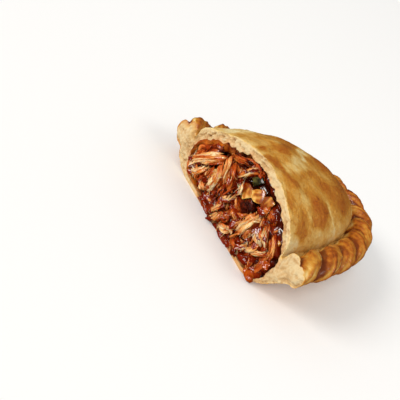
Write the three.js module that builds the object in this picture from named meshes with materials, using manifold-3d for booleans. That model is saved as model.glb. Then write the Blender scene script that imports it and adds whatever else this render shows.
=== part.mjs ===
// Half of a baked, stuffed turnover, as cut across the middle: a domed crust with a twisted rope
// edge round it, and the shredded filling that shows at the cut. Millimetres, +Z up. The cut faces
// -Y, the half rests on its flat base, and the origin is at the middle of its box, on the base.
import * as THREE from "three";
import { mergeVertices } from "three/addons/utils/BufferGeometryUtils.js";
import Module from "manifold-3d";

// Dome of the crust, from the middle of the cut
const HALF_WIDTH = 26.5;
const DEPTH = 58.6;
const HEIGHT = 29.1;
const SEAM_HEIGHT = 14.9;
const PLAN_POWER = 2.34;
const PLAN_LEAN = -0.096;
const DOME_POWER = 1.73;
const DOME_SOFTNESS = 0.14;

// How the cut edge of the crust is pulled to one side, and sags over the empty pocket
const CUT_SHIFT = 2.1;
const CUT_SHIFT_REACH = 16;
const SAG = 3.2;
const SAG_REACH = 6.6;

// The cavity's roof sags less there, and a fold of dough hangs from it behind the cut
const ROOF_SAG = 0.7;
const FOLD_DROP = 7;
const FOLD_DEPTH = 4;
const FOLD_EVENNESS = 0.6;

// Rope edge: its middle line lies outside the seam, higher at the +X end of the cut
const ROPE_REACH = 5.6;
const ROPE_HEIGHT = 13.4;
const ROPE_TILT = 2.3;
const ROPE_RADIUS = 4.5;
const ROPE_INNER_ANGLE = THREE.MathUtils.degToRad(155);
const ROPE_UNDER_ANGLE = THREE.MathUtils.degToRad(-80);
const CREASE_REACH = 0.9;
const CREASE_DEPTH = 0.8;
const END_SWELL = 0.26;
const END_SWELL_LENGTH = 9;

// Pleats of the rope
const FIRST_PLEAT = 6.7;
const PLEAT_PITCH = 11.5;
const PLEAT_DEPTH = 0.5;
const PLEAT_TWIST = 1.85;
const PLEAT_ROUNDNESS = 2.2;
const PLEAT_OVERLAP = 1.4;
const PLEAT_CREST = 0.58;
// The grooves are deep on top of the rope and shallow under it
const PLEAT_LOW = 0.2;
const PLEAT_LOW_ANGLE = THREE.MathUtils.degToRad(-50);
const PLEAT_HIGH_ANGLE = THREE.MathUtils.degToRad(65);

// Underside: flat in the middle, curving up to the rope
const BASE_POWER = 6.75;
const BASE_FLAT = 0.6;
const BASE_START = 0.97;

// Thickness of the crust, and the filling's clearance inside it
const CRUST_TOP = 3.3;
const CRUST_SIDE = 0.3;
const CRUST_BASE = 1.3;
const CAVITY_SHIFT = 0.9;
const CAVITY_SEAM_HEIGHT = 9.5;
const CAVITY_BASE_POWER = 18;
const GAP = 0.3;
// Under the fold the filling keeps this many times its clearance more
const FOLD_ROOM = 2;

// Blisters on the dome: [x, y, radius, height]
const BLISTERS = [
  [17, 18, 7, 0.9],
  [22, 5.5, 5, 0.6],
  [9.5, 6, 6, 0.6],
  [-7.5, 15, 8, 0.9],
  [8, 36, 8, 0.9],
  [-5, 40, 9, 0.9],
  [-17, 27, 9, 0.8],
];

// Facets
const DOME_RINGS = 12;
const DOME_RING_SEGMENTS = 8;
const ROPE_SEGMENTS = 126;
const ROPE_STEPS = 10;
const BASE_RINGS = [
  [0.9, 84],
  [0.8, 60],
  [0.7, 48],
  [BASE_FLAT, 36],
];
const CAVITY_RINGS = 9;
const CAVITY_RING_SEGMENTS = 6;
const CAVITY_BASE_RINGS = [
  [0.985, 42],
  [0.95, 42],
  [0.9, 36],
  [0.82, 30],
  [0.6, 18],
];

// Front of the filling's core: behind the cut, deeper in the pockets, with bumps
const CORE_RECESS = 2;
const CORE_BUMP = 0.7;
const CORE_BUMP_WAVE = 0.9;
const CORE_CELL = 3;
// Pockets that are empty behind the cut: [x, z, half width, half height, depth]
const POCKETS = [
  [-17, 16.5, 8, 4.5, 7],
  [-3, 22.5, 5, 3, 8],
];

// Larger shreds of the filling: places along each as [x, z] on the cut, its width and its lift
const MAIN_SHREDS = [
  { places: [[-24.2, 4.8], [-20, 11], [-15, 16.3], [-10.8, 19.6]], width: 2.8, lift: 1.3 },
  { places: [[-22, 6.6], [-18, 11.2], [-14, 14.4], [-9.6, 17.2]], width: 2.4, lift: 0.8 },
  { places: [[-20, 3], [-16.6, 7.6], [-14, 12], [-11.6, 13.4]], width: 2, lift: 1.1 },
  { places: [[-19, 6.8], [-17.2, 5.6], [-15.6, 3.2]], width: 2.4, lift: 0.8 },
  { places: [[-12.6, 14.4], [-10.2, 12.8], [-8.8, 9.4], [-9.1, 5.4]], width: 3.1, lift: 1.8 },
  { places: [[-8.6, 17.4], [-6.7, 14.2], [-6, 10.4], [-6.6, 7.2]], width: 2.4, lift: 1 },
  { places: [[-9.8, 18.8], [-7, 19.4], [-5, 17.6], [-3.4, 15.4]], width: 2.2, lift: 0.9 },
  { places: [[-7.6, 16.4], [-5, 14.8], [-2.6, 13], [0.4, 12.4]], width: 2.2, lift: 0.9 },
  { places: [[-9.8, 21.2], [-7, 22.8], [-3.8, 24]], width: 1.8, lift: 0.2 },
  { places: [[-1.8, 18], [0.5, 21], [3, 24.6]], width: 1.5, lift: 0.8 },
  { places: [[1.8, 14.6], [1.6, 12], [1.1, 9.4], [1.9, 7.6]], width: 1.9, lift: 1.2 },
  { places: [[1.6, 6.8], [1.2, 4.2], [0.4, 1.6], [-0.8, -0.6]], width: 2.2, lift: 1.6 },
  { places: [[3.2, 8.4], [4.1, 6.2], [3, 3.8]], width: 2, lift: 0.9 },
  { places: [[2.2, 13.2], [4.8, 11.4], [8, 11], [10.4, 12.6]], width: 1.3, lift: 1.7 },
  { places: [[4, 10.4], [5.6, 9.2], [7.4, 9]], width: 2.6, lift: 1.1 },
  { places: [[13.2, 16.6], [12, 13], [10.9, 9.6], [10.3, 5.8]], width: 2.7, lift: 1.7 },
  { places: [[3.2, 2], [6.2, 3.9], [9.6, 5.8]], width: 2, lift: 1.4 },
  { places: [[13.2, 3], [15, 5], [16.8, 7.2]], width: 1.6, lift: 1.2 },
  { places: [[18.2, 12], [18.1, 8.6], [16.8, 5]], width: 1.5, lift: 1.3 },
  { places: [[16, 15.8], [18.4, 13.6], [21, 12], [23.4, 10.8]], width: 2.6, lift: 1.5 },
  { places: [[16.6, 17.6], [19, 15.8], [21.6, 13.8]], width: 2, lift: 1 },
  { places: [[20.2, 8.2], [22.2, 10.8], [23.8, 13.2]], width: 1.4, lift: 1 },
  { places: [[-14.6, 9.2], [-12.2, 8], [-9.8, 7.2]], width: 1.3, lift: 0.4 },
  { places: [[-13.6, 5.2], [-11.6, 4.2], [-9.8, 4.6]], width: 1.6, lift: 0.8 },
  { places: [[-4.8, 12.2], [-3.6, 9.6], [-2.2, 7.2]], width: 1.9, lift: 0.7 },
  { places: [[-3.4, 6.2], [-1.8, 4], [-1.4, 1.6]], width: 1.7, lift: 0.9 },
  { places: [[13.4, 20.4], [16.2, 19.8], [18.6, 18.6]], width: 2, lift: 0.4 },
  { places: [[14.8, 12.8], [16.2, 10.6], [16, 8]], width: 1.7, lift: 0.5 },
  { places: [[10.2, 4.4], [12, 2.8], [13.4, 2.2]], width: 1.6, lift: 0.8 },
  { places: [[18.6, 6.6], [20.4, 4.6], [20.8, 2.6]], width: 1.8, lift: 0.7 },
];
// Pieces of onion, pepper and meat: [x, z, half width, half height]
const CHUNKS = [
  [4.2, 17.4, 2.6, 2],
  [9.6, 20.2, 3.2, 1.9],
  [5, 22, 2.2, 1.6],
  [7.6, 14.4, 2.4, 2.2],
  [-4.6, 4.4, 2.8, 2],
  [23.2, 4.6, 2.2, 2],
];
const CHUNK_THICKNESS = 2.2;

// Smaller shreds that fill in between, scattered over the cut
const SMALL_SHREDS = 18;
const SMALL_LENGTH = [8, 14];
const SMALL_WIDTH = [2, 3];
const SMALL_SPAN = { left: -22, right: 25, floor: 3, roof: 19 };
const SMALL_BEND = 0.3;
const SHRED_LIFT = [0.2, 1.8];
const SHRED_SINK = 1.9;
const SHRED_FLATNESS = 0.7;
const SHRED_BLUNTNESS = 0.3;
const SHRED_SIDES = 5;
const SHRED_STEPS = 6;

const wasm = await Module();
wasm.setup();

// A draw between 0 and 1 that is the same each time for the same place in the row.
function draw(place) {
  const spread = Math.sin(place * 12.9898 + 4.137) * 43758.5453;
  return spread - Math.floor(spread);
}

function between([low, high], place) {
  return THREE.MathUtils.lerp(low, high, draw(place));
}

// Outline from above. The half axes are moved out by reach, and scaled by share.
function planPoint(turn, reach, share) {
  const power = 2 / PLAN_POWER;
  const across = Math.cos(turn);
  const along = Math.max(Math.sin(turn), 0);
  const x = share * (HALF_WIDTH + reach) * Math.sign(across) * Math.abs(across) ** power;
  const onCut = turn === 0 || turn === Math.PI;
  const y = onCut ? 0 : share * (DEPTH + reach) * along ** power;
  return new THREE.Vector3(x + PLAN_LEAN * y, y, 0);
}

// Direction straight out of the outline, which lies in the cut at both ends.
function outward(turn) {
  const power = 2 - 2 / PLAN_POWER;
  const across = Math.cos(turn);
  const along = turn === 0 || turn === Math.PI ? 0 : Math.sin(turn);
  const x = (Math.sign(across) * Math.abs(across) ** power) / (HALF_WIDTH + ROPE_REACH);
  return new THREE.Vector3(x, along ** power / (DEPTH + ROPE_REACH), 0).normalize();
}

// The rope's middle line from above, used to space things evenly along it.
class RimCurve extends THREE.Curve {
  getPoint(share) {
    return planPoint(Math.PI * share, ROPE_REACH, 1);
  }
}
const rim = new RimCurve();
rim.arcLengthDivisions = 800;
const RIM_LENGTH = rim.getLength();

// Angle round the outline at an even share of the rim's length.
function turnAt(share) {
  if (share <= 0) return 0;
  if (share >= 1) return Math.PI;
  return Math.PI * rim.getUtoTmapping(share);
}

function ropeHeight(turn) {
  return ROPE_HEIGHT + ROPE_TILT * Math.cos(turn);
}

function blister(x, y) {
  let rise = 0;
  for (const [blisterX, blisterY, radius, height] of BLISTERS) {
    const distance = Math.hypot(x - blisterX, y - blisterY) / radius;
    rise += height * Math.exp(-2 * distance * distance);
  }
  return rise;
}

// Share of the dome's height at a share of the way from its top to the seam.
function domeRise(share) {
  const soften = (place) => (place ** 2 + DOME_SOFTNESS ** 2) ** (DOME_POWER / 2);
  return Math.sqrt(Math.max((soften(1) - soften(share)) / (soften(1) - soften(0)), 0));
}

// Shares at which the rings of a dome lie, closer together where it is steep.
function domeShare(step, rings) {
  return Math.sin((Math.PI / 2) * (step / rings)) ** (2 / DOME_POWER);
}

// A point on the dome, or on the like dome of the cavity.
function domePoint(turn, share, shell) {
  const point = planPoint(turn, shell.reach, share);
  const across = THREE.MathUtils.clamp(point.x / (HALF_WIDTH + shell.reach), -1, 1);
  const rise = domeRise(share);
  point.z = shell.seam + (shell.top - shell.seam) * rise;
  point.z += shell.blistered ? blister(point.x, point.y) * rise : 0;
  const overPocket = Math.max(-across, 0) * (1 - share ** 6);
  const folded = (point.y / FOLD_DEPTH) ** 2;
  point.z -= shell.sag * Math.exp(-point.y / SAG_REACH) * overPocket;
  point.z -= shell.fold * folded * Math.exp(1 - folded) * overPocket ** FOLD_EVENNESS;
  point.x += CUT_SHIFT * (1 - across * across) * Math.exp(-point.y / CUT_SHIFT_REACH);
  point.x += shell.shift;
  return point;
}

// Height of a pleat: a round lobe that falls more steeply on the far side, where it overlaps the next.
function pleat(phase) {
  const share = phase - Math.floor(phase);
  return 1 - Math.abs(2 * share ** PLEAT_OVERLAP - 1) ** PLEAT_ROUNDNESS;
}

// A point on the rope. The angle is 0 straight out, and 90 degrees on top.
function ropePoint(share, angle) {
  const turn = turnAt(share);
  const along = share * RIM_LENGTH;
  const slant = (PLEAT_TWIST * (Math.PI / 2 - angle)) / (2 * Math.PI);
  const phase = (along - FIRST_PLEAT) / PLEAT_PITCH + PLEAT_CREST + slant;
  const swell = 1 + END_SWELL * Math.exp(-(((RIM_LENGTH - along) / END_SWELL_LENGTH) ** 2));
  const high = THREE.MathUtils.smoothstep(angle, PLEAT_LOW_ANGLE, PLEAT_HIGH_ANGLE);
  const depth = PLEAT_DEPTH * THREE.MathUtils.lerp(PLEAT_LOW, 1, high);
  const radius = ROPE_RADIUS * swell * (1 - depth * (1 - pleat(phase)));
  const point = rim.getPoint(turn / Math.PI);
  point.addScaledVector(outward(turn), radius * Math.cos(angle));
  point.z = ropeHeight(turn) + radius * Math.sin(angle);
  return point;
}

function creasePoint(share) {
  const turn = turnAt(share);
  const point = planPoint(turn, CREASE_REACH, 1);
  point.z = (SEAM_HEIGHT + ropeHeight(turn)) / 2 - CREASE_DEPTH;
  return point;
}

function basePoint(turn, share) {
  const point = planPoint(turn, ROPE_REACH, share);
  const flat = BASE_FLAT ** BASE_POWER;
  const rise = Math.max(share ** BASE_POWER - flat, 0) / (1 - flat);
  point.z = (ropeHeight(turn) - ROPE_RADIUS) * rise;
  return point;
}

function cavityBasePoint(turn, share, shell) {
  const point = domePoint(turn, share, shell);
  point.z = shell.floor + (shell.seam - shell.floor) * share ** CAVITY_BASE_POWER;
  return point;
}

// A ring of points from the +X end of the cut round to the -X end.
function ring(segments, pointAt) {
  if (segments === 0) return [pointAt(0)];
  return Array.from({ length: segments + 1 }, (_, step) => pointAt(step / segments));
}

// Triangles between two rings that may have different numbers of points.
function stitch(triangles, inner, outer) {
  const innerSteps = inner.length - 1;
  const outerSteps = outer.length - 1;
  let i = 0;
  let o = 0;
  while (i < innerSteps || o < outerSteps) {
    const takeInner = o === outerSteps || (i + 1) * outerSteps < (o + 1) * innerSteps;
    if (i < innerSteps && takeInner) {
      triangles.push(inner[i], outer[o], inner[i + 1]);
      i += 1;
    } else {
      triangles.push(inner[i], outer[o], outer[o + 1]);
      o += 1;
    }
  }
}

function stitchAll(triangles, rings) {
  for (let step = 1; step < rings.length; step += 1) {
    stitch(triangles, rings[step - 1], rings[step]);
  }
}

// The loop that the ends of the rings make in the cut.
function cutLoop(rings) {
  const plusEnds = rings.map((points) => points[0]);
  const minusEnds = rings.filter((points) => points.length > 1).map((points) => points.at(-1));
  return [...plusEnds, ...minusEnds.reverse()];
}

// Flat face in the cut between an outer loop and the loops of openings in it, facing -Y.
function fillCut(triangles, outline, openings) {
  const flat = (points) => points.map((point) => new THREE.Vector2(point.x, point.z));
  const holes = openings.map(flat);
  const corners = [outline, ...openings].flat();
  const faces = THREE.ShapeUtils.triangulateShape(flat(outline), holes);
  const area = faces.reduce((sum, face) => {
    const [a, b, c] = face.map((corner) => corners[corner]);
    return sum + (b.x - a.x) * (c.z - a.z) - (c.x - a.x) * (b.z - a.z);
  }, 0);
  for (const [a, b, c] of faces) {
    const [second, third] = area > 0 ? [b, c] : [c, b];
    triangles.push(corners[a], corners[second], corners[third]);
  }
}

function geometryOf(triangles) {
  return mergeVertices(new THREE.BufferGeometry().setFromPoints(triangles), 1e-4);
}

function solidOf(geometry) {
  const bare = geometry.index ? geometry.toNonIndexed() : geometry.clone();
  bare.deleteAttribute("normal");
  bare.deleteAttribute("uv");
  const merged = mergeVertices(bare, 1e-4);
  return new wasm.Manifold(
    new wasm.Mesh({
      numProp: 3,
      vertProperties: new Float32Array(merged.attributes.position.array),
      triVerts: new Uint32Array(merged.index.array),
    }),
  );
}

function geometryOfSolid(solid) {
  const mesh = solid.getMesh();
  const geometry = new THREE.BufferGeometry();
  geometry.setAttribute("position", new THREE.BufferAttribute(mesh.vertProperties, 3));
  geometry.setIndex(new THREE.BufferAttribute(mesh.triVerts, 1));
  return geometry;
}

// Rings of the crust's outer face, from the top of the dome over the rope to the middle of the base
function crustRings() {
  const outer = {
    reach: 0,
    shift: 0,
    seam: SEAM_HEIGHT,
    top: HEIGHT,
    sag: SAG,
    fold: 0,
    blistered: true,
  };
  const rings = [];
  for (let step = 0; step <= DOME_RINGS; step += 1) {
    const share = domeShare(step, DOME_RINGS);
    const pointAt = (place) => domePoint(turnAt(place), share, outer);
    rings.push(ring(step * DOME_RING_SEGMENTS, pointAt));
  }
  rings.push(ring(ROPE_SEGMENTS, creasePoint));
  for (let step = 0; step <= ROPE_STEPS; step += 1) {
    const angle = THREE.MathUtils.lerp(ROPE_INNER_ANGLE, ROPE_UNDER_ANGLE, step / ROPE_STEPS);
    rings.push(ring(ROPE_SEGMENTS, (share) => ropePoint(share, angle)));
  }
  for (const [share, segments] of [[BASE_START, ROPE_SEGMENTS], ...BASE_RINGS, [0, 0]]) {
    rings.push(ring(segments, (place) => basePoint(turnAt(place), share)));
  }
  return rings;
}

// Rings of the cavity from its roof to its floor, made smaller by the inset
function cavityRings(inset) {
  const shell = {
    reach: -CRUST_SIDE - inset,
    shift: CAVITY_SHIFT,
    seam: CAVITY_SEAM_HEIGHT,
    top: HEIGHT - CRUST_TOP - inset,
    floor: CRUST_BASE + inset,
    sag: ROOF_SAG,
    fold: FOLD_DROP + FOLD_ROOM * inset,
  };
  const rings = [];
  for (let step = 0; step <= CAVITY_RINGS; step += 1) {
    const share = domeShare(step, CAVITY_RINGS);
    const pointAt = (place) => domePoint(turnAt(place), share, shell);
    rings.push(ring(step * CAVITY_RING_SEGMENTS, pointAt));
  }
  for (const [share, segments] of [...CAVITY_BASE_RINGS, [0, 0]]) {
    rings.push(ring(segments, (place) => cavityBasePoint(turnAt(place), share, shell)));
  }
  return rings;
}

function pastryGeometry() {
  const triangles = [];
  const outside = crustRings();
  const inside = cavityRings(0);
  stitchAll(triangles, outside);
  // The cavity's wall faces inwards, so its corners run the other way round
  const wall = [];
  stitchAll(wall, inside);
  triangles.push(...wall.reverse());
  fillCut(triangles, cutLoop(outside), [cutLoop(inside)]);
  return geometryOf(triangles);
}

// A ring closed by its mirror image in front of the cut.
function closedRing(points) {
  const mirrored = points.slice(1, -1).map((point) => new THREE.Vector3(point.x, -point.y, point.z));
  return points.length === 1 ? points : [...points, ...mirrored.reverse(), points[0]];
}

// Space that the filling may take: the cavity less the gap, and on past the cut.
function fillingSpace() {
  const triangles = [];
  stitchAll(triangles, cavityRings(GAP).map(closedRing));
  return solidOf(geometryOf(triangles));
}

// How far behind the cut the core's front lies.
function coreFront(x, z) {
  let depth = CORE_RECESS;
  depth += CORE_BUMP * Math.sin(CORE_BUMP_WAVE * x + z) * Math.cos(CORE_BUMP_WAVE * z - x / 2);
  for (const [pocketX, pocketZ, halfWidth, halfHeight, pocketDepth] of POCKETS) {
    const distance = Math.hypot((x - pocketX) / halfWidth, (z - pocketZ) / halfHeight);
    depth += pocketDepth * Math.exp(-distance * distance);
  }
  return depth;
}

// Block in front of the core, whose uneven back face shapes the core's front.
function frontBlock() {
  const width = 2 * (HALF_WIDTH + ROPE_REACH);
  const across = Math.round(width / CORE_CELL);
  const up = Math.round(HEIGHT / CORE_CELL);
  const block = new THREE.BoxGeometry(width, DEPTH, HEIGHT, across, 1, up);
  const places = block.attributes.position;
  for (let corner = 0; corner < places.count; corner += 1) {
    const x = places.getX(corner);
    const z = places.getZ(corner) + HEIGHT / 2;
    const atBack = places.getY(corner) > 0;
    places.setXYZ(corner, x, atBack ? coreFront(x, z) : -DEPTH, z);
  }
  return solidOf(block);
}

// A shred: a flattened tube along a curve, drawn in at both ends.
function shred(curve, width) {
  const front = new THREE.Vector3(0, -1, 0);
  const rings = [];
  for (let step = 0; step <= SHRED_STEPS; step += 1) {
    const share = (1 - Math.cos((Math.PI * step) / SHRED_STEPS)) / 2;
    const middle = curve.getPoint(share);
    const atEnd = step === 0 || step === SHRED_STEPS;
    const side = curve.getTangent(share).cross(front).normalize();
    const half = (width / 2) * Math.sin(Math.PI * share) ** SHRED_BLUNTNESS;
    const points = Array.from({ length: SHRED_SIDES + 1 }, (_, corner) => {
      const angle = (2 * Math.PI * (corner % SHRED_SIDES)) / SHRED_SIDES;
      const place = middle.clone().addScaledVector(side, half * Math.cos(angle));
      return place.addScaledVector(front, half * SHRED_FLATNESS * Math.sin(angle));
    });
    rings.push(atEnd ? [middle] : points);
  }
  const triangles = [];
  stitchAll(triangles, rings);
  return solidOf(geometryOf(triangles));
}

function mainShreds() {
  return MAIN_SHREDS.map(({ places, width, lift }) => {
    const last = places.length - 1;
    const points = places.map(([x, z], place) => {
      const y = place === 0 || place === last ? SHRED_SINK : -lift;
      return new THREE.Vector3(x, y, z);
    });
    return shred(new THREE.CatmullRomCurve3(points), width);
  });
}

function smallShreds() {
  return Array.from({ length: SMALL_SHREDS }, (_, row) => {
    const seed = 100 + 7 * row;
    const column = (row + 0.5) / SMALL_SHREDS;
    const x = THREE.MathUtils.lerp(SMALL_SPAN.left, SMALL_SPAN.right, column);
    const z = between([SMALL_SPAN.floor, SMALL_SPAN.roof], seed);
    const angle = Math.PI * draw(seed + 1);
    const half = between(SMALL_LENGTH, seed + 2) / 2;
    const bend = (draw(seed + 3) - 0.5) * 2 * SMALL_BEND * half;
    const lift = between(SHRED_LIFT, seed + 4) / 2;
    const way = new THREE.Vector3(Math.cos(angle), 0, Math.sin(angle));
    const aside = new THREE.Vector3(-way.z, 0, way.x);
    const middle = new THREE.Vector3(x, -lift, z);
    const ends = [-half, half].map((reach) => {
      const end = middle.clone().addScaledVector(way, reach).addScaledVector(aside, bend);
      return end.setY(SHRED_SINK);
    });
    const path = new THREE.CatmullRomCurve3([ends[0], middle, ends[1]]);
    return shred(path, between(SMALL_WIDTH, seed + 5));
  });
}

function chunks() {
  return CHUNKS.map(([x, z, halfWidth, halfHeight], row) => {
    const chunk = new THREE.IcosahedronGeometry(1, 1);
    chunk.scale(halfWidth, CHUNK_THICKNESS, halfHeight);
    chunk.rotateY(draw(row + 60) - 0.5);
    chunk.translate(x, CORE_RECESS - CHUNK_THICKNESS / 2, z);
    return solidOf(chunk);
  });
}

function fillingGeometry() {
  const space = fillingSpace();
  let heap = space.subtract(frontBlock());
  for (const piece of [...mainShreds(), ...smallShreds(), ...chunks()]) {
    heap = heap.add(piece.intersect(space));
  }
  const bodies = heap.decompose().sort((a, b) => b.volume() - a.volume());
  return geometryOfSolid(bodies[0]);
}

function namedMesh(name, geometry, colour, roughness) {
  const material = new THREE.MeshStandardMaterial({ color: colour, roughness, metalness: 0 });
  const mesh = new THREE.Mesh(geometry, material);
  mesh.name = name;
  return mesh;
}

const empanada = new THREE.Group();
empanada.add(namedMesh("pastry", pastryGeometry(), 0xcf9a4e, 0.55));
empanada.add(namedMesh("filling", fillingGeometry(), 0x8a4320, 0.35));

// The origin goes to the middle of the box, on the base.
const box = new THREE.Box3().setFromObject(empanada);
const middle = box.getCenter(new THREE.Vector3());
empanada.position.set(-middle.x, -middle.y, -box.min.z);

export default empanada;
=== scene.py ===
"""Half of a baked turnover: browned crust with a rope edge, and shredded filling at the cut."""
import math
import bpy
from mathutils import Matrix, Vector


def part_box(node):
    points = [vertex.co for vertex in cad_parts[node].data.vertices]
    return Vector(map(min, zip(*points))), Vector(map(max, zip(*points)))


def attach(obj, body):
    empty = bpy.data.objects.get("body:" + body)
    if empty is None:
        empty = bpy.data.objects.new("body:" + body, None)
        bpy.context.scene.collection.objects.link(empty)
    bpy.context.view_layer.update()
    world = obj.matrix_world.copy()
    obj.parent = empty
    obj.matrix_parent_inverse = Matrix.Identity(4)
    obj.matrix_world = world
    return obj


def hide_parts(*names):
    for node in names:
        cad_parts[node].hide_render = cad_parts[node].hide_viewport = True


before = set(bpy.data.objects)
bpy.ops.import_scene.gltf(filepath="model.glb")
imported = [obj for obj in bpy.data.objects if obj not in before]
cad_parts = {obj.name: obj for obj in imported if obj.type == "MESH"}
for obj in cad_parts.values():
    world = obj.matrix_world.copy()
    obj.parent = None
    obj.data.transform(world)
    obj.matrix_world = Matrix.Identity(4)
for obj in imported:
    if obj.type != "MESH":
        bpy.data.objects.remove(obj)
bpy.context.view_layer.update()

from types import SimpleNamespace

import bmesh
import bpy
import numpy as np
from bpy.props import FloatProperty, FloatVectorProperty, IntProperty, PointerProperty
from bpy.types import Operator, Panel, PropertyGroup
from mathutils import Matrix, Vector, noise
from mathutils.geometry import delaunay_2d_cdt

bl_info = {
    "name": "Halved empanada",
    "version": (1, 0, 0),
    "blender": (4, 5, 0),
    "location": "3D View > Sidebar > Empanada",
    "description": "Dresses the packed half of a stuffed turnover",
    "category": "Object",
}

MM = 0.001
# Width of the camera's sensor, in mm
SENSOR_WIDTH = 36
# Warm white of the lights
LAMP_TINT = (1.0, 0.97, 0.93)
# Share of the floor that is level, before its edge rises
FLOOR_LEVEL = 0.8
# Inputs of a node that mixes colours: the share, the first colour and the second
MIX_INPUTS = (0, 6, 7)
# Parts of the crust's outer face
DOME, CREASE, ROPE, BASE = range(4)
# Segments that a ring of the dome or the cavity has more than the one inside it
RING_STEP = 4
# How far the rings of the cavity's floor crowd to its edge, as a power
FLOOR_CROWD = 0.35
# Place and width of the thin lip within a pleat, as shares of it
LIP_PLACE, LIP_WIDTH = 0.88, 0.055
# How much the grooves between the pleats differ in depth, as a share
GROOVE_SPREAD = 0.12
# Rings of the base, of the cavity in the crust and of the filling's core
BASE_RINGS, CAVITY_RINGS, CORE_RINGS = 40, 84, 44
# Steps down into the crease and up to the rope, and the bow of the way down, in mm
CREASE_DOWN, CREASE_UP, CREASE_BOW = 5, 4, 0.12
# Spacing of the points on the cut crumb, in mm
CRUMB_STEP = 0.27
# Where the torn ends of the rope begin and are full, in mm from the middle of the cut
STUB = (26.5, 29)
# How far inside the crust the loose pieces of filling stay, in mm
FILLING_INSET = 0.8
# Points along a large shred, a smaller one, a fine strand, a loose fibre and a curled fibre
SHRED_STEPS, SCRAP_STEPS, STRAND_STEPS, FIBRE_STEPS, FUZZ_STEPS = 44, 26, 14, 22, 9
# Shreds wider than this get more points, in mm
WIDE_SHRED = 1.6
# Splits of the balls that lumps and drops are made from
LUMP_SPLITS, DROP_SPLITS = 5, 4
# A piece that stands 1 mm out of the cut is seen moved by this much along x and z
SIGHT = np.array([0.6, 0.0, 0.52])
# A wet face that looks this way shines towards the camera
GLINT = np.array([0.1, -0.88, 0.47])

# Blisters on the dome, in mm: x, y, radius, height
BLISTERS = (
    (17, 18, 7, 0.9),
    (22, 5.5, 5, 0.6),
    (9.5, 6, 6, 0.6),
    (-7.5, 15, 8, 0.9),
    (8, 36, 8, 0.9),
    (-5, 40, 9, 0.9),
    (-17, 27, 9, 0.8),
)

# Browner and paler spots of the dome, in mm: x, y, half length, half width, turn in degrees, amount
SPOTS = (
    (17.2, 17.5, 4.8, 3.8, 80, 0.4),
    (17.5, 20.0, 3.6, 1.4, 0, 0.14),
    (22.4, 5.8, 2.8, 2.2, 60, 0.24),
    (16.0, 2.2, 1.6, 1.2, 0, 0.2),
    (9.6, 6.2, 3.2, 2.0, 60, 0.26),
    (3.2, 2.8, 4.2, 2.2, 50, 0.42),
    (-4.2, 3.2, 2.0, 1.6, 0, 0.22),
    (-7.4, 16.4, 6.2, 2.6, -68, 0.34),
    (-5.6, 10.6, 2.6, 1.8, -50, 0.2),
    (10.5, 29.0, 6.5, 3.4, 70, 0.22),
    (10.5, 36.5, 6.0, 3.0, -25, 0.28),
    (-5.0, 38.0, 7.0, 3.4, -60, 0.32),
    (-13.5, 26.0, 10.0, 4.0, -60, 0.2),
    (2.4, 45.0, 7.0, 3.0, -60, 0.2),
    (6.0, 24.0, 5.0, 3.0, 60, 0.14),
    (1.2, 15.5, 10.5, 3.2, -62, -0.24),
    (-7.0, 27.0, 7.0, 1.6, -48, -0.3),
    (-19.5, 8.5, 7.5, 4.6, -70, -0.32),
    (-12.0, 36.0, 8.0, 2.0, -62, -0.22),
    (17.0, 24.6, 4.0, 1.0, 20, -0.2),
    (21.5, 12.5, 4.0, 1.2, 80, -0.16),
    (14.0, 9.5, 4.0, 1.4, 20, -0.1),
)

# Pockets in front of the filling, in mm: x, z, half width, half height, depth
POCKETS = ((-17, 16.5, 8, 4.5, 7), (-3, 22.5, 5, 3, 8))

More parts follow.
